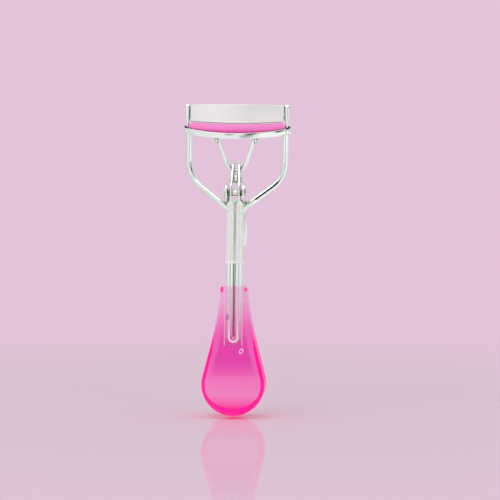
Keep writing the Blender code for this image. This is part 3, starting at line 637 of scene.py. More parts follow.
def build_pivot_bracket(material):
    """Bent sheet: two round ears, a web behind them, and a band crimped round the tails."""
    outer_x = BRACKET_INNER_X + BRACKET_SHEET
    reach_x = outer_x + OVERSHOOT
    radius = BRACKET_EAR_R
    plan = rounded_box(outer_x, radius + BRACKET_WEB_BACK_Y, BRACKET_BEND_R, -radius)
    hollow = rounded_box(BRACKET_INNER_X, radius + BRACKET_WEB_Y, BRACKET_CORE_R, -radius)
    thing = make_thing("pivot_bracket_fine", prism_z(plan, BAND_BOTTOM, radius + 0.5))
    cut(thing, [prism_z(hollow, BAND_BOTTOM - OVERSHOOT, radius + 1.5)])
    cut(thing, [prism_x(bracket_side_view(), -reach_x, reach_x)], "INTERSECT")
    notch = box(
        (-BRACKET_NOTCH_X, BRACKET_WEB_Y - OVERSHOOT, BRACKET_NOTCH_Z),
        (BRACKET_NOTCH_X, BRACKET_WEB_BACK_Y + OVERSHOOT, radius),
    )
    cut(thing, [notch, lathe_x(((-reach_x, PIVOT_HOLE_R), (reach_x, PIVOT_HOLE_R)))])

    middle_y = (BAND_FRONT_Y + BAND_BACK_Y) / 2
    half_y = (BAND_BACK_Y - BAND_FRONT_Y) / 2
    plan = rounded_box(BAND_HALF_WIDTH, half_y, BAND_CORNER, middle_y)
    seam = prism_y(seam_outline(), middle_y - SEAM_HALF_DEPTH, middle_y + SEAM_HALF_DEPTH)
    cut(thing, [prism_z(plan, BAND_BOTTOM, BAND_TOP), seam], "UNION")
    bore = rounded_box(
        BAND_HALF_WIDTH - BRACKET_SHEET, half_y - BRACKET_SHEET, BAND_CORNER - BRACKET_SHEET, middle_y
    )
    end_x = BAND_HALF_WIDTH + SEAM_REACH
    groove = box(
        (end_x - SEAM_GROOVE_DEPTH, middle_y - SEAM_GROOVE_HALF_WIDTH, BAND_BOTTOM - OVERSHOOT),
        (end_x + OVERSHOOT, middle_y + SEAM_GROOVE_HALF_WIDTH, BAND_TOP + OVERSHOOT),
    )
    cut(thing, [prism_z(bore, BAND_BOTTOM - OVERSHOOT, BAND_TOP + OVERSHOOT), groove])
    soften_edges(thing, BRACKET_EDGE)
    add_piece(thing, "frame", material)


def domed_head(inner, outer, radius, shaft, dome):
    """A rivet head from its top down to its shaft, as (x, radius)."""
    tip, edge = 0.02, 0.06
    profile = [(outer, tip)]
    for angle in quarter_turn(8):
        profile.append((outer - dome * (1 - cos(angle)), radius * sin(angle)))
    return profile + [(inner + edge, radius), (inner, radius - edge), (inner, shaft)]


def build_pivot_rivet(material):
    """Turned pin: domed head on the left, formed tail with a dimple on the right."""
    seat = BRACKET_INNER_X + BRACKET_SHEET + 0.1
    head = domed_head(seat, seat + PIVOT_HEAD_HEIGHT, PIVOT_HEAD_R, PIVOT_R, 0.6)
    tail = domed_head(seat, seat + PIVOT_TAIL_HEIGHT, PIVOT_TAIL_R, PIVOT_R, 0.3)
    profile = [(-x, radius) for x, radius in head] + tail[::-1]
    thing = make_thing("pivot_rivet_fine", lathe_x(profile))
    cut(thing, [lathe_x(((seat + 0.3, 0.02), (seat + 0.35, 0.3), (seat + 0.6, 0.55)), sides=32)])
    add_piece(thing, "frame", material, 30)


# -------- paddles

def paddle_outline():
    """Right half of the outline from the top to the bottom, as (x, z)."""
    corner = PADDLE_CORNER_R
    inner = PADDLE_TOP_HALF_WIDTH - corner
    half = [(inner * k / 4, PADDLE_TOP_Z) for k in range(4)]
    half += arc((inner, PADDLE_TOP_Z - corner), corner, 90, 0, 8)
    start = Vector(half[-1])
    hip_rise = PADDLE_HIP_Z - PADDLE_ROUND_Z
    hip = Vector((sqrt(PADDLE_ROUND_R ** 2 - hip_rise ** 2), PADDLE_HIP_Z))
    for k in range(1, 41):
        t = k / 40
        u = 1 - t
        half.append(tuple(
            start * u ** 3
            + PADDLE_WAIST_HANDLE * 3 * u * u * t
            + PADDLE_HIP_HANDLE * 3 * u * t * t
            + hip * t ** 3
        ))
    first = degrees(asin(hip_rise / PADDLE_ROUND_R))
    return half + arc((0, PADDLE_ROUND_Z), PADDLE_ROUND_R, first, -90, 36)[1:]


def closed_outline():
    """The whole outline: down the right side and back up the left."""
    half = paddle_outline()
    return half + [(-x, z) for x, z in reversed(half[1:-1])]


def paddle_ring(outline, depth, y):
    """The outline drawn in by depth towards the paddle's spine."""
    ring = []
    for x, z in outline:
        point = Vector((x, z))
        spine = Vector((0, min(PADDLE_SPINE_TOP, max(PADDLE_ROUND_Z, z))))
        share = min(depth / (spine - point).length, 0.8 + 0.03 * depth)
        place = point.lerp(spine, share)
        ring.append(Vector((place.x, y, place.y)))
    return ring


def store_paddle_place(thing, outline, centre_y, leaning):
    """Keeps each vertex's place and its distance from the outline for the shader, in mm."""
    edge = []
    for (x0, z0), (x1, z1) in zip(outline, outline[1:] + outline[:1]):
        edge += [Vector((mix(x0, x1, k / 4), 0, mix(z0, z1, k / 4))) for k in range(4)]
    tree = kdtree.KDTree(len(edge))
    for i, point in enumerate(edge):
        tree.insert(point, i)
    tree.balance()
    inverse = world_matrix(leaning).inverted()
    points = [inverse @ vertex.co for vertex in thing.data.vertices]
    place = thing.data.attributes.new("place", "FLOAT_VECTOR", "POINT")
    for item, point in zip(place.data, points):
        item.vector = (point.x, point.y - centre_y, point.z)
    rim = thing.data.attributes.new("rim", "FLOAT", "POINT")
    for item, point in zip(rim.data, points):
        item.value = tree.find((point.x, 0, point.z))[2]


def build_paddle(name, centre_y, leg_x, wire_radius, wire_bottom, leaning, body, material):
    """A flat grip with round edges, and a pocket from the top for its wire."""
    outline = closed_outline()
    flat = PADDLE_HALF_THICK - PADDLE_EDGE_R
    layers = arc((PADDLE_EDGE_R, flat), PADDLE_EDGE_R, 180, 90, 8)
    layers += [(depth, PADDLE_HALF_THICK) for depth in (2, 2.5, 3, 3.6, 4.4)]
    layers = [(depth, -y) for depth, y in reversed(layers)] + layers
    shape = loft([paddle_ring(outline, depth, centre_y + y) for depth, y in layers])
    thing = make_thing(name, shape, leaning)
    half_y = wire_radius + POCKET_CLEARANCE
    pocket = rounded_box(leg_x + half_y, half_y, half_y * 0.95, centre_y)
    bottom = wire_bottom - POCKET_DEPTH_BELOW_WIRE
    cut(thing, [prism_z(pocket, bottom, PADDLE_TOP_Z + OVERSHOOT)], leaning=leaning)
    store_paddle_place(thing, outline, centre_y, leaning)
    add_piece(thing, body, material, 50)


# -------- lever pieces

def build_lever_wire(material):
    """Right half from the ear's tip to the bottom of the hairpin, then mirrored."""
    path, sections = [], []
    for angle in quarter_turn(16):
        # the round tip of the ear
        path.append(ear_point(ARM_LENGTH + EAR_HALF_WIDTH * cos(angle)))
        half = EAR_HALF_THICK * min(1, 0.5 + sin(angle))
        sections.append((half, EAR_HALF_WIDTH * sin(angle), EAR_POWER))
    flat_path = [ear_point(distance) for distance in (8.5, 6.4, 4.5, 3.2)]
    # the ear bends down into the leg along a quadratic curve about the pivot
    bend_start = flat_path[-1]
    corner = Vector((EAR_PIVOT_X, 0, 0))
    lower = Vector((EAR_PIVOT_X, 0, EAR_FLAT_Z))
    for k in range(1, 15):
        t = k / 14
        flat_path.append(bend_start * (1 - t) ** 2 + corner * 2 * t * (1 - t) + lower * t ** 2)
    flat = (EAR_HALF_THICK, EAR_HALF_WIDTH, EAR_POWER)
    round_wire = (LEVER_R - 0.01, LEVER_R, ROUND_POWER)
    # the wire thickens late, to stay inside the bracket's ears
    beaten_path, beaten_sections = beaten_stretch(
        lower, (LEVER_LEG_X, 0, EAR_ROUND_Z), flat, round_wire, 16, lateness=2
    )
    bottom = LEVER_BOTTOM + LEVER_R
    legs = [Vector((LEVER_LEG_X, 0, bottom + LEVER_LEG_X + 1))]
    legs += hairpin(LEVER_LEG_X, 0, bottom)
    path += flat_path + beaten_path + legs
    sections += [flat] * len(flat_path) + beaten_sections + [round_wire] * len(legs)
    thing = make_thing("lever_wire_fine", sweep(path, sections, WIRE_SIDES, (1, 0, 0)), True)
    mirror_x(thing)
    reach = 4
    holes = [
        lathe_x(((-reach, radius), (reach, radius)), arm_point(distance), 48)
        for distance, radius in (
            (0, PIVOT_HOLE_R),
            (SPACER_DISTANCE, SPACER_HOLE_R),
            (LINK_HOLE_DISTANCE, LINK_HOLE_R),
        )
    ]
    cut(thing, holes, leaning=True)
    add_piece(thing, "lever", material)


def build_spacer(material):
    """The rivet through both ears, and the bush between them."""
    centre = arm_point(SPACER_DISTANCE)
    head = domed_head(SPACER_HEAD_X, SPACER_END_X, SPACER_HEAD_R, SPACER_R, 0.45)
    profile = [(-x, radius) for x, radius in head] + head[::-1]
    rivet = make_thing("spacer_rivet_fine", lathe_x(profile, centre), True)
    add_piece(rivet, "lever", material, 30)
    shape = tube_x(-BUSH_HALF_LENGTH, BUSH_HALF_LENGTH, SPACER_HOLE_R, BUSH_R, centre)
    bush = make_thing("spacer_bush_fine", shape, True)
    add_piece(bush, "lever", material, 30)


def build_lever_sleeve(material):
    """Thin clear tube round both legs, with a slightly thicker rim at its foot."""
    inner = (LEVER_LEG_X + LEVER_R + SLEEVE_GAP, LEVER_R + SLEEVE_GAP)
    outer = tuple(size + SLEEVE_WALL for size in inner)

    def ring(half_sizes, grow, z):
        half_x, half_y = (size + grow for size in half_sizes)
        outline = rounded_box(half_x, half_y, half_y - SLEEVE_FLAT, 0, 16)
        return [Vector((x, y, z)) for x, y in outline]

    rings = [ring(inner, 0, SLEEVE_TOP), ring(outer, -0.08, SLEEVE_TOP)]
    wall_top = SLEEVE_TOP - 0.12
    steps = 24
    for k in range(steps + 1):
        rings.append(ring(outer, 0, mix(wall_top, SLEEVE_BOTTOM + 1, k / steps)))
    for grow, rise in ((0.07, 0.9), (0.1, 0.7), (0.1, 0.15), (0.04, 0)):
        rings.append(ring(outer, grow, SLEEVE_BOTTOM + rise))
    rings += [ring(inner, 0, SLEEVE_BOTTOM), rings[0]]
    thing = make_thing("lever_sleeve_fine", tube(rings), True)
    add_piece(thing, "lever", material, 45)


# -------- lower jaw pieces

def jaw_section(top, bottom, skirt):
    """U-shaped section with rounded corners and a deeper front wall, as (offset, z)."""
    inner = JAW_HALF_DEPTH - JAW_WALL
    rim = JAW_WALL / 2
    heel = (-JAW_HALF_DEPTH + JAW_OUTER_ROUNDING, bottom + JAW_OUTER_ROUNDING)
    trough_x = inner - JAW_INNER_ROUNDING
    trough_z = bottom + JAW_WALL + JAW_INNER_ROUNDING
    section = arc((inner + rim, top - rim), rim, 180, 0, 8)
    section += arc((inner + rim, skirt + rim), rim, 0, -180, 8)
    section.append((inner, bottom + 0.02))
    section += arc(heel, JAW_OUTER_ROUNDING, -90, -180, 8)
    section += arc((-inner - rim, top - rim), rim, 180, 0, 8)
    section += arc((-trough_x, trough_z), JAW_INNER_ROUNDING, 180, 270, 4)
    return section + arc((trough_x, trough_z), JAW_INNER_ROUNDING, -90, 0, 4)


def eye_prism(side, grow, overshoot):
    """Upright oval round a guide rod, with a top that rises to the back."""
    low, high = [], []
    for c, s in arc((0, 0), 1, 0, 360, HOLE_SIDES)[:-1]:
        x = side * EYE_X + (EYE_HOLE_HALF_X + grow) * c
        y = GUIDE_Y + (EYE_HOLE_HALF_Y + grow) * s
        rise = EYE_RISE * (y - GUIDE_Y + EYE_HOLE_HALF_Y)
        low.append(Vector((x, y, EYE_BOTTOM - overshoot)))
        high.append(Vector((x, y, EYE_FRONT_TOP + rise + overshoot)))
    return loft([low, high])


def lug_prism(side):
    """A tab with a round foot, hung from the jaw's floor."""
    y, z = LINK_AXIS.yz
    top = bowed(JAW_BOTTOM_ENDS, JAW_BOTTOM_BOW, LUG_X) + JAW_WALL / 2
    profile = arc((y, z), LUG_R, 180, 360, 32) + [(y + LUG_R, top), (y - LUG_R, top)]
    middle = side * LUG_X
    return prism_x(profile, middle - LUG_HALF_THICK, middle + LUG_HALF_THICK)


def build_lower_jaw(material):
    """A bowed channel with an eye at each end and two lugs under its middle."""
    rings = []
    for i in range(ARC_STEPS + 1):
        x = JAW_ARC_X * (2 * i / ARC_STEPS - 1)
        top = bowed(JAW_TOP_ENDS, JAW_TOP_BOW, x)
        bottom = bowed(JAW_BOTTOM_ENDS, JAW_BOTTOM_BOW, x)
        rings.append(jaw_ring(x, jaw_section(top, bottom, skirt_bottom(x))))
    thing = make_thing("lower_jaw_fine", loft(rings))
    cut(thing, [eye_prism(side, EYE_WALL, 0) for side in (-1, 1)], "UNION")
    cut(thing, [lug_prism(side) for side in (-1, 1)], "UNION")
    cut(thing, [eye_prism(side, 0, 2) for side in (-1, 1)])
    reach = 12
    bar = ((-reach, LUG_HOLE_R), (reach, LUG_HOLE_R))
    cut(thing, [lathe_x(bar, LINK_AXIS.yz, 32)])
    soften_edges(thing, JAW_EDGE)
    add_piece(thing, "jaw", material)


def pad_stations():
    """Places along the pad, closer together towards its rounded ends."""
    straight = PAD_X - PAD_END_ROUNDING
    end = [straight + PAD_END_ROUNDING * sin(angle) for angle in quarter_turn(8)]
    middle = [mix(-straight, straight, i / ARC_STEPS) for i in range(ARC_STEPS + 1)]
    return [-x for x in reversed(end)] + middle + end


def pad_section(x):
    """The pad as (offset, z): it fills the trough and swells into a soft crown."""
    low = JAW_HALF_DEPTH - JAW_WALL - PAD_CLEARANCE
    inside = max(0, abs(x) - (PAD_X - PAD_END_ROUNDING)) / PAD_END_ROUNDING
    shrink = sqrt(max(0, 1 - inside ** 2))
    rim = bowed(JAW_TOP_ENDS, JAW_TOP_BOW, x)
    lift = smoothstep((abs(x) - PAD_LIFT_START_X) / PAD_LIFT_LENGTH)
    trough = bowed(JAW_BOTTOM_ENDS, JAW_BOTTOM_BOW, x) + JAW_WALL + PAD_CLEARANCE
    bottom = mix(trough, rim + 0.15, lift)
    top = bowed(PLATE_BOTTOM_ENDS, PLATE_BOTTOM_BOW, x) - PAD_GAP
    crown = min(PAD_CROWN, top - rim - 0.3)
    shoulder = top - 0.9 * (1 - shrink) - crown
    width = PAD_HALF_WIDTH * (0.72 + 0.28 * shrink)
    neck = rim - 0.1 + 0.27 * lift
    flare = [(mix(low, width, smoothstep(k / 5)), mix(neck, rim + 0.55, k / 5)) for k in range(1, 6)]
    round_top = [(width * c, shoulder + crown * s) for c, s in arc((0, 0), 1, 180, 0, 24)]
    back = [(-low, bottom), (-low, neck)] + [(-offset, z) for offset, z in flare]
    return back + round_top + flare[::-1] + [(low, neck), (low, bottom)]


def build_silicone_pad(material):
    rings = [jaw_ring(x, pad_section(x)) for x in pad_stations()]
    thing = make_thing("silicone_pad_fine", loft(rings))
    add_piece(thing, "jaw", material, 50)


# -------- link pieces

def build_link(material):
    """V-shaped wire from the lugs down to the ears, and a collar at each lug."""
    foot_y, foot_z = link_foot()
    top_y, top_z = LINK_AXIS.yz
    knee = LINK_KNEE_RISE / (top_z - foot_z)
    corners = [
        Vector((LINK_END_X, top_y, top_z)),
        Vector((LINK_HEAD_X, top_y, top_z)),
        Vector((LINK_KNEE_X, mix(foot_y, top_y, knee), foot_z + LINK_KNEE_RISE)),
        Vector((LINK_FOOT_X, foot_y, foot_z)),
        Vector((0, foot_y, foot_z)),
    ]
    fillets = (LINK_FILLET, LINK_KNEE_FILLET, LINK_FILLET)
    path, radii = [], []
    for angle in quarter_turn(6):
        # the rounded end
        x = LINK_END_X - LINK_END_ROUNDING * (1 - cos(angle))
        path.append(Vector((x, top_y, top_z)))
        radii.append(LINK_R * (0.66 + 0.34 * sin(angle)))
    path += rounded_path(corners, fillets, LINK_BEND_STEPS)[1:]
    radii += [LINK_R] * (len(path) - len(radii))
    sections = [(radius, radius, ROUND_POWER) for radius in radii]
    shape = sweep(path, sections, LINK_SIDES, (0, 1, 0))
    thing = make_thing("link_wire_fine", shape)
    mirror_x(thing)
    add_piece(thing, "link", material)
    for name, start, end in (
        ("left_link_collar_fine", -COLLAR_END_X, -COLLAR_START_X),
        ("right_link_collar_fine", COLLAR_START_X, COLLAR_END_X),
    ):
        shape = tube_x(start, end, COLLAR_INNER_R, COLLAR_OUTER_R, (top_y, top_z))
        add_piece(make_thing(name, shape), "link", material, 30)


# -------- shader helpers

def colour(code):
    """A screen colour such as "f46dbc" as linear RGBA."""
    channels = []
    for k in (0, 2, 4):
        value = int(code[k:k + 2], 16) / 255
        channels.append(value / 12.92 if value <= 0.04045 else ((value + 0.055) / 1.055) ** 2.4)
    return (*channels, 1)


class Value:
    """What a shader works out at each point; arithmetic on it adds nodes to its tree."""

    def __init__(self, tree, socket):
        self.tree = tree
        self.socket = socket

    def maths(self, operation, other=0):
        node = self.tree.nodes.new("ShaderNodeMath")
        node.operation = operation
        plug(node.inputs[0], self)
        plug(node.inputs[1], other)
        return Value(self.tree, node.outputs[0])

    __add__ = partialmethod(maths, "ADD")
    __sub__ = partialmethod(maths, "SUBTRACT")
    __mul__ = partialmethod(maths, "MULTIPLY")
    __truediv__ = partialmethod(maths, "DIVIDE")
    __pow__ = partialmethod(maths, "POWER")
    __abs__ = partialmethod(maths, "ABSOLUTE")
    at_least = partialmethod(maths, "MAXIMUM")
    at_most = partialmethod(maths, "MINIMUM")

    def smooth(self, low, high, to_low=0, to_high=1):
        """Eases from to_low to to_high while the value goes from low to high."""
        node = self.tree.nodes.new("ShaderNodeMapRange")
        node.interpolation_type = "SMOOTHSTEP"
        feed(node, {
            "Value": self, "From Min": low, "From Max": high, "To Min": to_low, "To Max": to_high,
        })
        return Value(self.tree, node.outputs["Result"])


def plug(socket, value):
    """Feeds a socket from a shader value, a screen colour or a plain value."""
    if isinstance(value, Value):
        value.tree.links.new(value.socket, socket)
    else:
        socket.default_value = colour(value) if isinstance(value, str) else value


def feed(node, inputs):
    """Feeds a node's inputs by name."""
    for name, value in inputs.items():
        plug(node.inputs[name], value)


def read(tree, kind, output):
    """One output of a new input node."""
    return Value(tree, tree.nodes.new("ShaderNode" + kind).outputs[output])


def attribute(tree, name, output):
    """What the mesh stores under a name."""
    value = read(tree, "Attribute", output)
    value.socket.node.attribute_name = name
    return value


def parts(vector):
    """The x, y and z of a vector."""
    node = vector.tree.nodes.new("ShaderNodeSeparateXYZ")
    plug(node.inputs[0], vector)
    return [Value(vector.tree, part) for part in node.outputs]


def blend(share, a, b):
    """Colour a where share is 0, colour b where share is 1."""
    node = share.tree.nodes.new("ShaderNodeMix")
    node.data_type = "RGBA"
    # the colour sockets of a Mix node come after those for numbers and vectors
    for socket, value in ((0, share), (6, a), (7, b)):
        plug(node.inputs[socket], value)
    return Value(share.tree, node.outputs[2])


def colour_along(value, stops):
    """Colour by a value; stops are (value, screen colour) from low to high."""
    low, high = stops[0][0], stops[-1][0]
    node = value.tree.nodes.new("ShaderNodeValToRGB")
    elements = node.color_ramp.elements
    elements[0].color = colour(stops[0][1])
    elements[1].color = colour(stops[-1][1])
    for position, code in stops[1:-1]:
        elements.new((position - low) / (high - low)).color = colour(code)
    plug(node.inputs["Fac"], (value - low) / (high - low))
    return Value(value.tree, node.outputs["Color"])


def noise(tree, scale, detail, stretch=(1, 1, 1)):
    """Noise fixed to the piece, with scale in features per millimetre."""
    mapping = tree.nodes.new("ShaderNodeMapping")
    feed(mapping, {"Vector": read(tree, "TexCoord", "Object"), "Scale": stretch})
    node = tree.nodes.new("ShaderNodeTexNoise")
    place = Value(tree, mapping.outputs["Vector"])
    feed(node, {"Vector": place, "Scale": scale / MM, "Detail": detail})
    return Value(tree, node.outputs["Fac"])


def bump(shader, height, depth):
    """Raises the surface by up to depth, in metres."""
    node = height.tree.nodes.new("ShaderNodeBump")
    feed(node, {"Distance": depth, "Height": height})
    plug(shader.inputs["Normal"], Value(height.tree, node.outputs["Normal"]))


def new_material(name):
    material = bpy.data.materials.new(name)
    material.use_nodes = True
    return material, material.node_tree, material.node_tree.nodes["Principled BSDF"]


def place_in_mm(tree):
    """Distance from the middle plane and height above the pivot at rest."""
    x, _, z = parts(read(tree, "TexCoord", "Object"))
    return abs(x) / MM, (z - PIVOT.z) / MM


# -------- materials

# painted shade: the colours and reach of the darkening painted into crevices by ambient occlusion
DARK_PAINTED_SHADE = "4a3a34"
PALE_PAINTED_SHADE = "b9b4ae"
PAINTED_SHADE_REACH = 0.0014
NOWHERE = -1000.0
FINE_BUMP = 0.00001

# pink plastic: the face's colour by height in mm, and its rim
GRIP_COLOURS = (
    (-85.2, "f90871"), (-82.5, "fb1c8c"), (-80.5, "f460b0"), (-77, "f188c4"), (-72, "f379c1"),
    (-68, "e955b2"), (-64, "e33eab"), (-56, "e33eab"), (-50, "ee5db5"), (-44, "f08ccb"),
    (-36, "f3b9e2"),
)
GRIP_BAND = "f47cc2"
GRIP_HOT_RIM = "ff0092"

# marks on the front grip, painted highlights and painted shade among them, as (x, z) places and half
# sizes in mm
SPOT_CORNERS = ((-4.55, 0.95), (4.55, 0.65))
SPOT_Z = -36.9
SPOT_HALF_SIZES = (0.9, 1.6)
BEND_HIGHLIGHT_CENTRE_Z = -55.3
BEND_HIGHLIGHT_R = 1.6
POCKET_EDGE_X = 3.35
BUBBLE_PLACE = (3.1, -60.4)
BUBBLE_HALF_SIZES = (0.75, 1.15)
BUBBLE_TILT = -28.0
DARK_SPOT_PLACE = (-2.3, -47.6)
DARK_SPOT_HALF_SIZES = (1, 1.9)


def make_chrome(
    name, code, roughness, scratches, painted_shade_code=DARK_PAINTED_SHADE, pale_shade_below=NOWHERE, metallic=1
):
    """Bright plating: slight orange peel, faint scratches, and painted shade that darkens its
    crevices.
    """
    material, tree, shader = new_material(name)
    # ambient occlusion paints shade into the crevices; the share is 1 out in the open
    occlusion = tree.nodes.new("ShaderNodeAmbientOcclusion")
    occlusion.samples = 8
    plug(occlusion.inputs["Distance"], PAINTED_SHADE_REACH)
    unshaded = Value(tree, occlusion.outputs["AO"]).smooth(0.25, 0.95)
    # under the sleeve and the grips, the painted shade darkens only the gap between a wire's own two
    # legs
    aside, height = place_in_mm(tree)
    bend_top = LEVER_BOTTOM + 2 * LEVER_R
    off_gap = aside.smooth(0.1, 0.38).at_least(height.smooth(bend_top + 0.3, bend_top - 0.2))
    unshaded = mix(unshaded, off_gap, height.smooth(-3, -4.5))
    # low down, the painted shade takes its paler colour
    shade_is_pale = height.smooth(pale_shade_below, pale_shade_below - 0.8)
    lines = noise(tree, 6, 3, (1, 1, 0.06))
    feed(shader, {
        "Base Color": blend(unshaded, blend(shade_is_pale, painted_shade_code, PALE_PAINTED_SHADE), code),
        "Metallic": metallic,
        "Roughness": lines * scratches + (roughness - scratches / 2),
    })
    bump(shader, noise(tree, 0.25, 1), FINE_BUMP)
    return material


def make_silicone():
    """Soft pink rubber with a fine moulded grain and a dusty sheen; painted shade darkens it towards
    its root, and a faint emission paints a glow over it.
    """
    material, tree, shader = new_material("pink_silicone_rubber")
    _, height = place_in_mm(tree)
    body = blend(noise(tree, 0.35, 2), "f983c8", "f992d0")
    feed(shader, {
        # painted shade: the pad darkens towards its root, down in the jaw's trough
        "Base Color": blend(height.smooth(23.2, 24.6, 1, 0), body, "ec52ad"),
        "Roughness": 0.42,
        # painted glow: a faint pink emission brightens the rubber as if lit
        "Emission Color": "fb86cc",
        "Emission Strength": 0.12,
        "Subsurface Weight": 0.25,
        "Subsurface Radius": (1, 0.35, 0.6),
        "Subsurface Scale": 0.0012,
        "Specular IOR Level": 0.45,
    })
    bump(shader, noise(tree, 4, 3), 2 * FINE_BUMP)
    return material


def ellipse(x, z, centre, half_sizes, tilt=0):
    """0 at the centre of a tilted ellipse, 1 on its edge, above 1 outside."""
    u, v = x - centre[0], z - centre[1]
    c, s = cos(radians(tilt)), sin(radians(tilt))
    along, across = u * c + v * s, v * c - u * s
    return (along / half_sizes[0]) ** 2 + (across / half_sizes[1]) ** 2


def paint_marks_and_light(tree, place, face, alpha):
    """Corner spots, a painted highlight for the wire's bend and the pocket's walls, painted shade in
    the gap between its legs, a bubble and a dark spot.
    """
    x, y, z = place
    aside = abs(x)

    def paint(share, code):
        return blend(share, face, code), alpha.at_least(share * 0.9)

    for corner_x, size in SPOT_CORNERS:
        half_sizes = [size * half for half in SPOT_HALF_SIZES]
        spot = ellipse(x, z, (corner_x, SPOT_Z), half_sizes).smooth(1, 0.5)
        face, alpha = paint(spot * y.smooth(0.5, -0.5), "fd1f97")
    # painted highlights: the wire's bend as a pale U seen through the plastic, and pale lines along
    # the pocket's walls beside it
    below = (z - BEND_HIGHLIGHT_CENTRE_Z).at_most(0)
    from_u = (aside ** 2 + below ** 2).maths("SQRT") - BEND_HIGHLIGHT_R
    bend_highlight = abs(from_u).smooth(0.5, 0.1) * z.smooth(-38, -56.5, 0.15, 0.95)
    wall_highlight = abs(aside - POCKET_EDGE_X).smooth(0.3, 0.05)
    wall_highlight = wall_highlight * z.smooth(-59, -57.5, 0, 0.55) * z.smooth(-36.5, -39)
    face, alpha = paint(bend_highlight.at_least(wall_highlight), "fdeaf8")
    # painted shade: a dark line down the gap between the wire's two legs
    face, alpha = paint(aside.smooth(0.4, 0.1) * z.smooth(-55, -54.2) * 0.7, "6e2f4c")
    bubble = ellipse(x, z, BUBBLE_PLACE, BUBBLE_HALF_SIZES, BUBBLE_TILT)
    face, alpha = paint(bubble.smooth(1, 0.8) * bubble.smooth(0.25, 0.55), "fbd3ef")
    # a dark, mottled spot painted over the wire seen through the plastic
    dark_spot = ellipse(x, z, DARK_SPOT_PLACE, DARK_SPOT_HALF_SIZES).smooth(1, 0.1) * noise(tree, 2.2, 2)
    return paint(dark_spot.smooth(0.2, 0.45, 0, 0.7), "8d4a78")


def make_grip(name, marks_and_light):
    """Clear pink plastic: nearly clear at the top, deep pink below, with a hot pink rim, and a painted
    glow from emission that is strongest along the rim.
    """
    material, tree, shader = new_material(name)
    place = x, _, z = parts(attribute(tree, "place", "Vector"))
    edge = attribute(tree, "rim", "Fac")
    band = edge.smooth(4, 2.2) * z.smooth(-78, -70)
    face = blend(band * 0.45, colour_along(z, GRIP_COLOURS), GRIP_BAND)
    rim_width = z.smooth(-77, -84.5, 1.5, 3.2) - z.smooth(-64, -46, 0, 1.4)
    hot = (edge - rim_width).smooth(0.35, -0.35) * z.smooth(-48, -60)
    face = blend(hot, face, GRIP_HOT_RIM)
    over_wire = z.smooth(-59.2, -58.2) * abs(x).smooth(3.6, 3)
    alpha = mix(z.smooth(-38, -60, 0.3, 0.97), z.smooth(-40, -58, 0.3, 0.52), over_wire)
    # the front grip gets its marks, painted highlights and painted shade
    if marks_and_light:
        face, alpha = paint_marks_and_light(tree, place, face, alpha)
    behind = read(tree, "NewGeometry", "Backfacing")
    feed(shader, {
        "Base Color": face,
        # painted glow: the plastic emits its own colour, most along the hot rim, as if light shone
        # through it
        "Emission Color": face,
        "Emission Strength": hot.smooth(0, 1, 0.19, 0.36),
        "Alpha": alpha * behind.smooth(0, 1, 1, 0.12),
        "Roughness": 0.15,
        "Specular IOR Level": 0.3,
    })
    bump(shader, noise(tree, 1.5, 2), 1.5 * FINE_BUMP)
    return material


def make_clear_sleeve():
    """Thin milky tube: see-through, a little whiter at its foot, with a faint painted glow from
    emission.
    """
    material, tree, shader = new_material("clear_sleeve_plastic")
    cloud = noise(tree, 0.9, 1, (1, 1, 0.05))
    _, height = place_in_mm(tree)
    foot = height.smooth(SLEEVE_BOTTOM + 1.1, SLEEVE_BOTTOM + 0.8, 0, 0.4)
    feed(shader, {
        "Base Color": "f6f5f4",
        # painted glow: a faint white emission brightens the sleeve as if lit
        "Emission Color": "f6f5f4",
        "Emission Strength": 0.15,
        "Roughness": 0.22,
        "Alpha": cloud.smooth(0.3, 0.7, 0.24, 0.3) + foot,
    })
    bump(shader, cloud, FINE_BUMP)
    return material


# -------- the set: floor, light, camera

BACKDROP = "e4c3da"
FLOOR_COLOUR = "f3d3e9"
FLOOR_R = 0.4
FLOOR_GLOSS = 0.3
FLOOR_GAP = 0.6
SENSOR_WIDTH = 36.0
CAMERA_AZIMUTH = 3.0
CAMERA_ELEVATION = 4.0
CAMERA_ROLL = 0.4
CAMERA_DISTANCE = 1.2
FRAME_HEIGHT = 0.1908
FRAME_RIGHT = 5.61
FRAME_DOWN = 21.87
PANEL_SOFT_EDGE = (0.6, 1.3)
DARKEST_LIGHT = 0.02
PANELS = (
    # azimuth, elevation, angular radius in degrees, light added: white boards, then black cards
    (50, -8, 20, 0.25),
    (110, -30, 30, 0.3),
    (-60, 75, 30, 0.15),
    (10, -4, 9, -0.45),
    (16, 10, 8, -0.8),
    (20, 26, 9, -1),
    (20, 50, 8, -0.9),
    (36, 39, 10, -1.6),
    (46, 26, 10, -1.8),
    (56, 10, 8, -1.2),
    (-12, 8, 6, -0.6),
    (-28, 24, 6, -0.6),
    (-45, 40, 7, -0.4),
)
SOFTBOXES = (
    # name, azimuth, elevation, distance, width and height in metres, power, mirrored in the chrome
    ("left_softbox", -42, 18, 1.4, (0.4, 1.2), 1.2, False),
    ("right_softbox", 38, 14, 1.4, (0.25, 1.2), 1.5, False),
    ("top_softbox", 0, 78, 1.2, (1, 0.8), 1.5, True),
)
SOFTBOX_AIM = Vector((0, 0, 0.05))


def direction(azimuth, elevation):
    """Unit vector from the object towards a place on the set; azimuth 0 is the front."""
    a, e = radians(azimuth), radians(elevation)
    return Vector((sin(a) * cos(e), -cos(a) * cos(e), sin(e)))


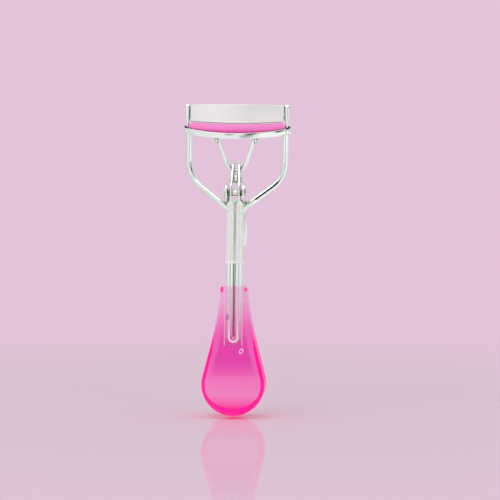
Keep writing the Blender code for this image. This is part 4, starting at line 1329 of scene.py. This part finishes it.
def build_world():
    """White studio light, greyer behind, with black cards; the camera sees a backdrop."""
    world = bpy.data.worlds.new("studio")
    bpy.context.scene.world = world
    world.use_nodes = True
    tree = world.node_tree
    sky = read(tree, "TexCoord", "Generated")
    _, y, z = parts(sky)
    level = y.smooth(-1, 0.3, 0.9, 0.64) + z.smooth(0.4, 0.85, 0, 0.1)
    for azimuth, elevation, radius, added in PANELS:
        dot = tree.nodes.new("ShaderNodeVectorMath")
        dot.operation = "DOT_PRODUCT"
        plug(dot.inputs[0], sky)
        plug(dot.inputs[1], direction(azimuth, elevation))
        inner, outer = (cos(radians(radius * share)) for share in PANEL_SOFT_EDGE)
        level += Value(tree, dot.outputs["Value"]).smooth(outer, inner, 0, added)
    light = blend(level.at_least(DARKEST_LIGHT), (0, 0, 0, 1), (1, 1, 0.995, 1))
    shown = blend(read(tree, "LightPath", "Is Camera Ray"), light, BACKDROP)
    plug(tree.nodes["Background"].inputs["Color"], shown)


def mix_shaders(tree, share, a, b):
    node = tree.nodes.new("ShaderNodeMixShader")
    for socket, value in zip(node.inputs, (share, a, b)):
        plug(socket, value)
    return Value(tree, node.outputs[0])


def build_floor(height):
    """Pale floor with a faint reflection, which fades into the backdrop."""
    bpy.ops.mesh.primitive_circle_add(
        vertices=64, radius=FLOOR_R, fill_type="NGON", location=(0, 0, height)
    )
    floor = bpy.context.active_object
    floor.name = "floor"
    material, tree, shader = new_material("pale_floor")
    feed(shader, {"Base Color": FLOOR_COLOUR, "Roughness": 0.8, "Specular IOR Level": 0})
    gloss = tree.nodes.new("ShaderNodeBsdfGlossy")
    plug(gloss.inputs["Roughness"], 0.06)
    far = tree.nodes.new("ShaderNodeEmission")
    plug(far.inputs["Color"], BACKDROP)
    length = tree.nodes.new("ShaderNodeVectorMath")
    length.operation = "LENGTH"
    plug(length.inputs[0], read(tree, "TexCoord", "Object"))
    matt, mirror, distant = (Value(tree, node.outputs[0]) for node in (shader, gloss, far))
    near = mix_shaders(tree, FLOOR_GLOSS, matt, mirror)
    away = Value(tree, length.outputs["Value"]).smooth(0.1, 0.38)
    surface = tree.nodes["Material Output"].inputs["Surface"]
    plug(surface, mix_shaders(tree, away, near, distant))
    floor.data.materials.append(material)
    floor.visible_glossy = False


def add_softbox(name, azimuth, elevation, distance, size, power, mirrored):
    """An area light; only a mirrored one shows in the chrome."""
    light = bpy.data.lights.new(name, "AREA")
    light.shape = "RECTANGLE"
    light.size, light.size_y = size
    light.energy = power
    lamp = bpy.data.objects.new(name, light)
    lamp.visible_glossy = mirrored
    bpy.context.scene.collection.objects.link(lamp)
    away = direction(azimuth, elevation)
    lamp.location = SOFTBOX_AIM + away * distance
    lamp.rotation_euler = away.to_track_quat("Z", "Y").to_euler()


def build_camera():
    data = bpy.data.cameras.new("camera")
    data.sensor_width = SENSOR_WIDTH
    data.lens = SENSOR_WIDTH * CAMERA_DISTANCE / FRAME_HEIGHT
    data.clip_end = 20
    camera = bpy.data.objects.new("camera", data)
    bpy.context.scene.collection.objects.link(camera)
    away = direction(CAMERA_AZIMUTH, CAMERA_ELEVATION)
    turn = away.to_track_quat("Z", "Y").to_matrix()
    turn = turn @ Matrix.Rotation(radians(CAMERA_ROLL), 3, "Z")
    right, up = turn.col[0], turn.col[1]
    target = PIVOT + (right * FRAME_RIGHT - up * FRAME_DOWN) * MM
    camera.matrix_world = Matrix.Translation(target + away * CAMERA_DISTANCE) @ turn.to_4x4()
    bpy.context.scene.camera = camera


# -------- assembly

def build_object():
    wire = make_chrome("bright_chrome_wire", "f2f9f3", 0.04, 0.04)
    link = make_chrome("bright_chrome_link", "f2f9f3", 0.04, 0.04, PALE_PAINTED_SHADE)
    sheet = make_chrome("bright_chrome_sheet", "eef2ee", 0.16, 0.06)
    jaw = make_chrome("bright_chrome_jaw", "f4f8f4", 0.14, 0.06, pale_shade_below=JAW_BOTTOM_ENDS + 0.2)
    satin = make_chrome("satin_jaw_plate", "fcfdfb", 0.45, 0.1, metallic=0.6)
    build_frame_wire(wire)
    build_upper_jaw_plate(satin)
    build_pivot_bracket(sheet)
    build_pivot_rivet(wire)
    build_lever_wire(wire)
    build_spacer(link)
    build_lever_sleeve(make_clear_sleeve())
    build_lower_jaw(jaw)
    build_silicone_pad(make_silicone())
    build_link(link)
    build_paddle(
        "rear_paddle_fine", TAIL_Y, TAIL_X, FRAME_R, FRAME_BOTTOM, False, "frame",
        make_grip("rear_grip_plastic", False),
    )
    build_paddle(
        "front_paddle_fine", 0, LEVER_LEG_X, LEVER_R, LEVER_BOTTOM, True, "lever",
        make_grip("front_grip_plastic", True),
    )


build_object()
build_world()
build_floor(PIVOT.z + (PADDLE_ROUND_Z - PADDLE_ROUND_R - FLOOR_GAP) * MM)
for softbox in SOFTBOXES:
    add_softbox(*softbox)
build_camera()
bpy.context.scene.view_settings.view_transform = "Standard"
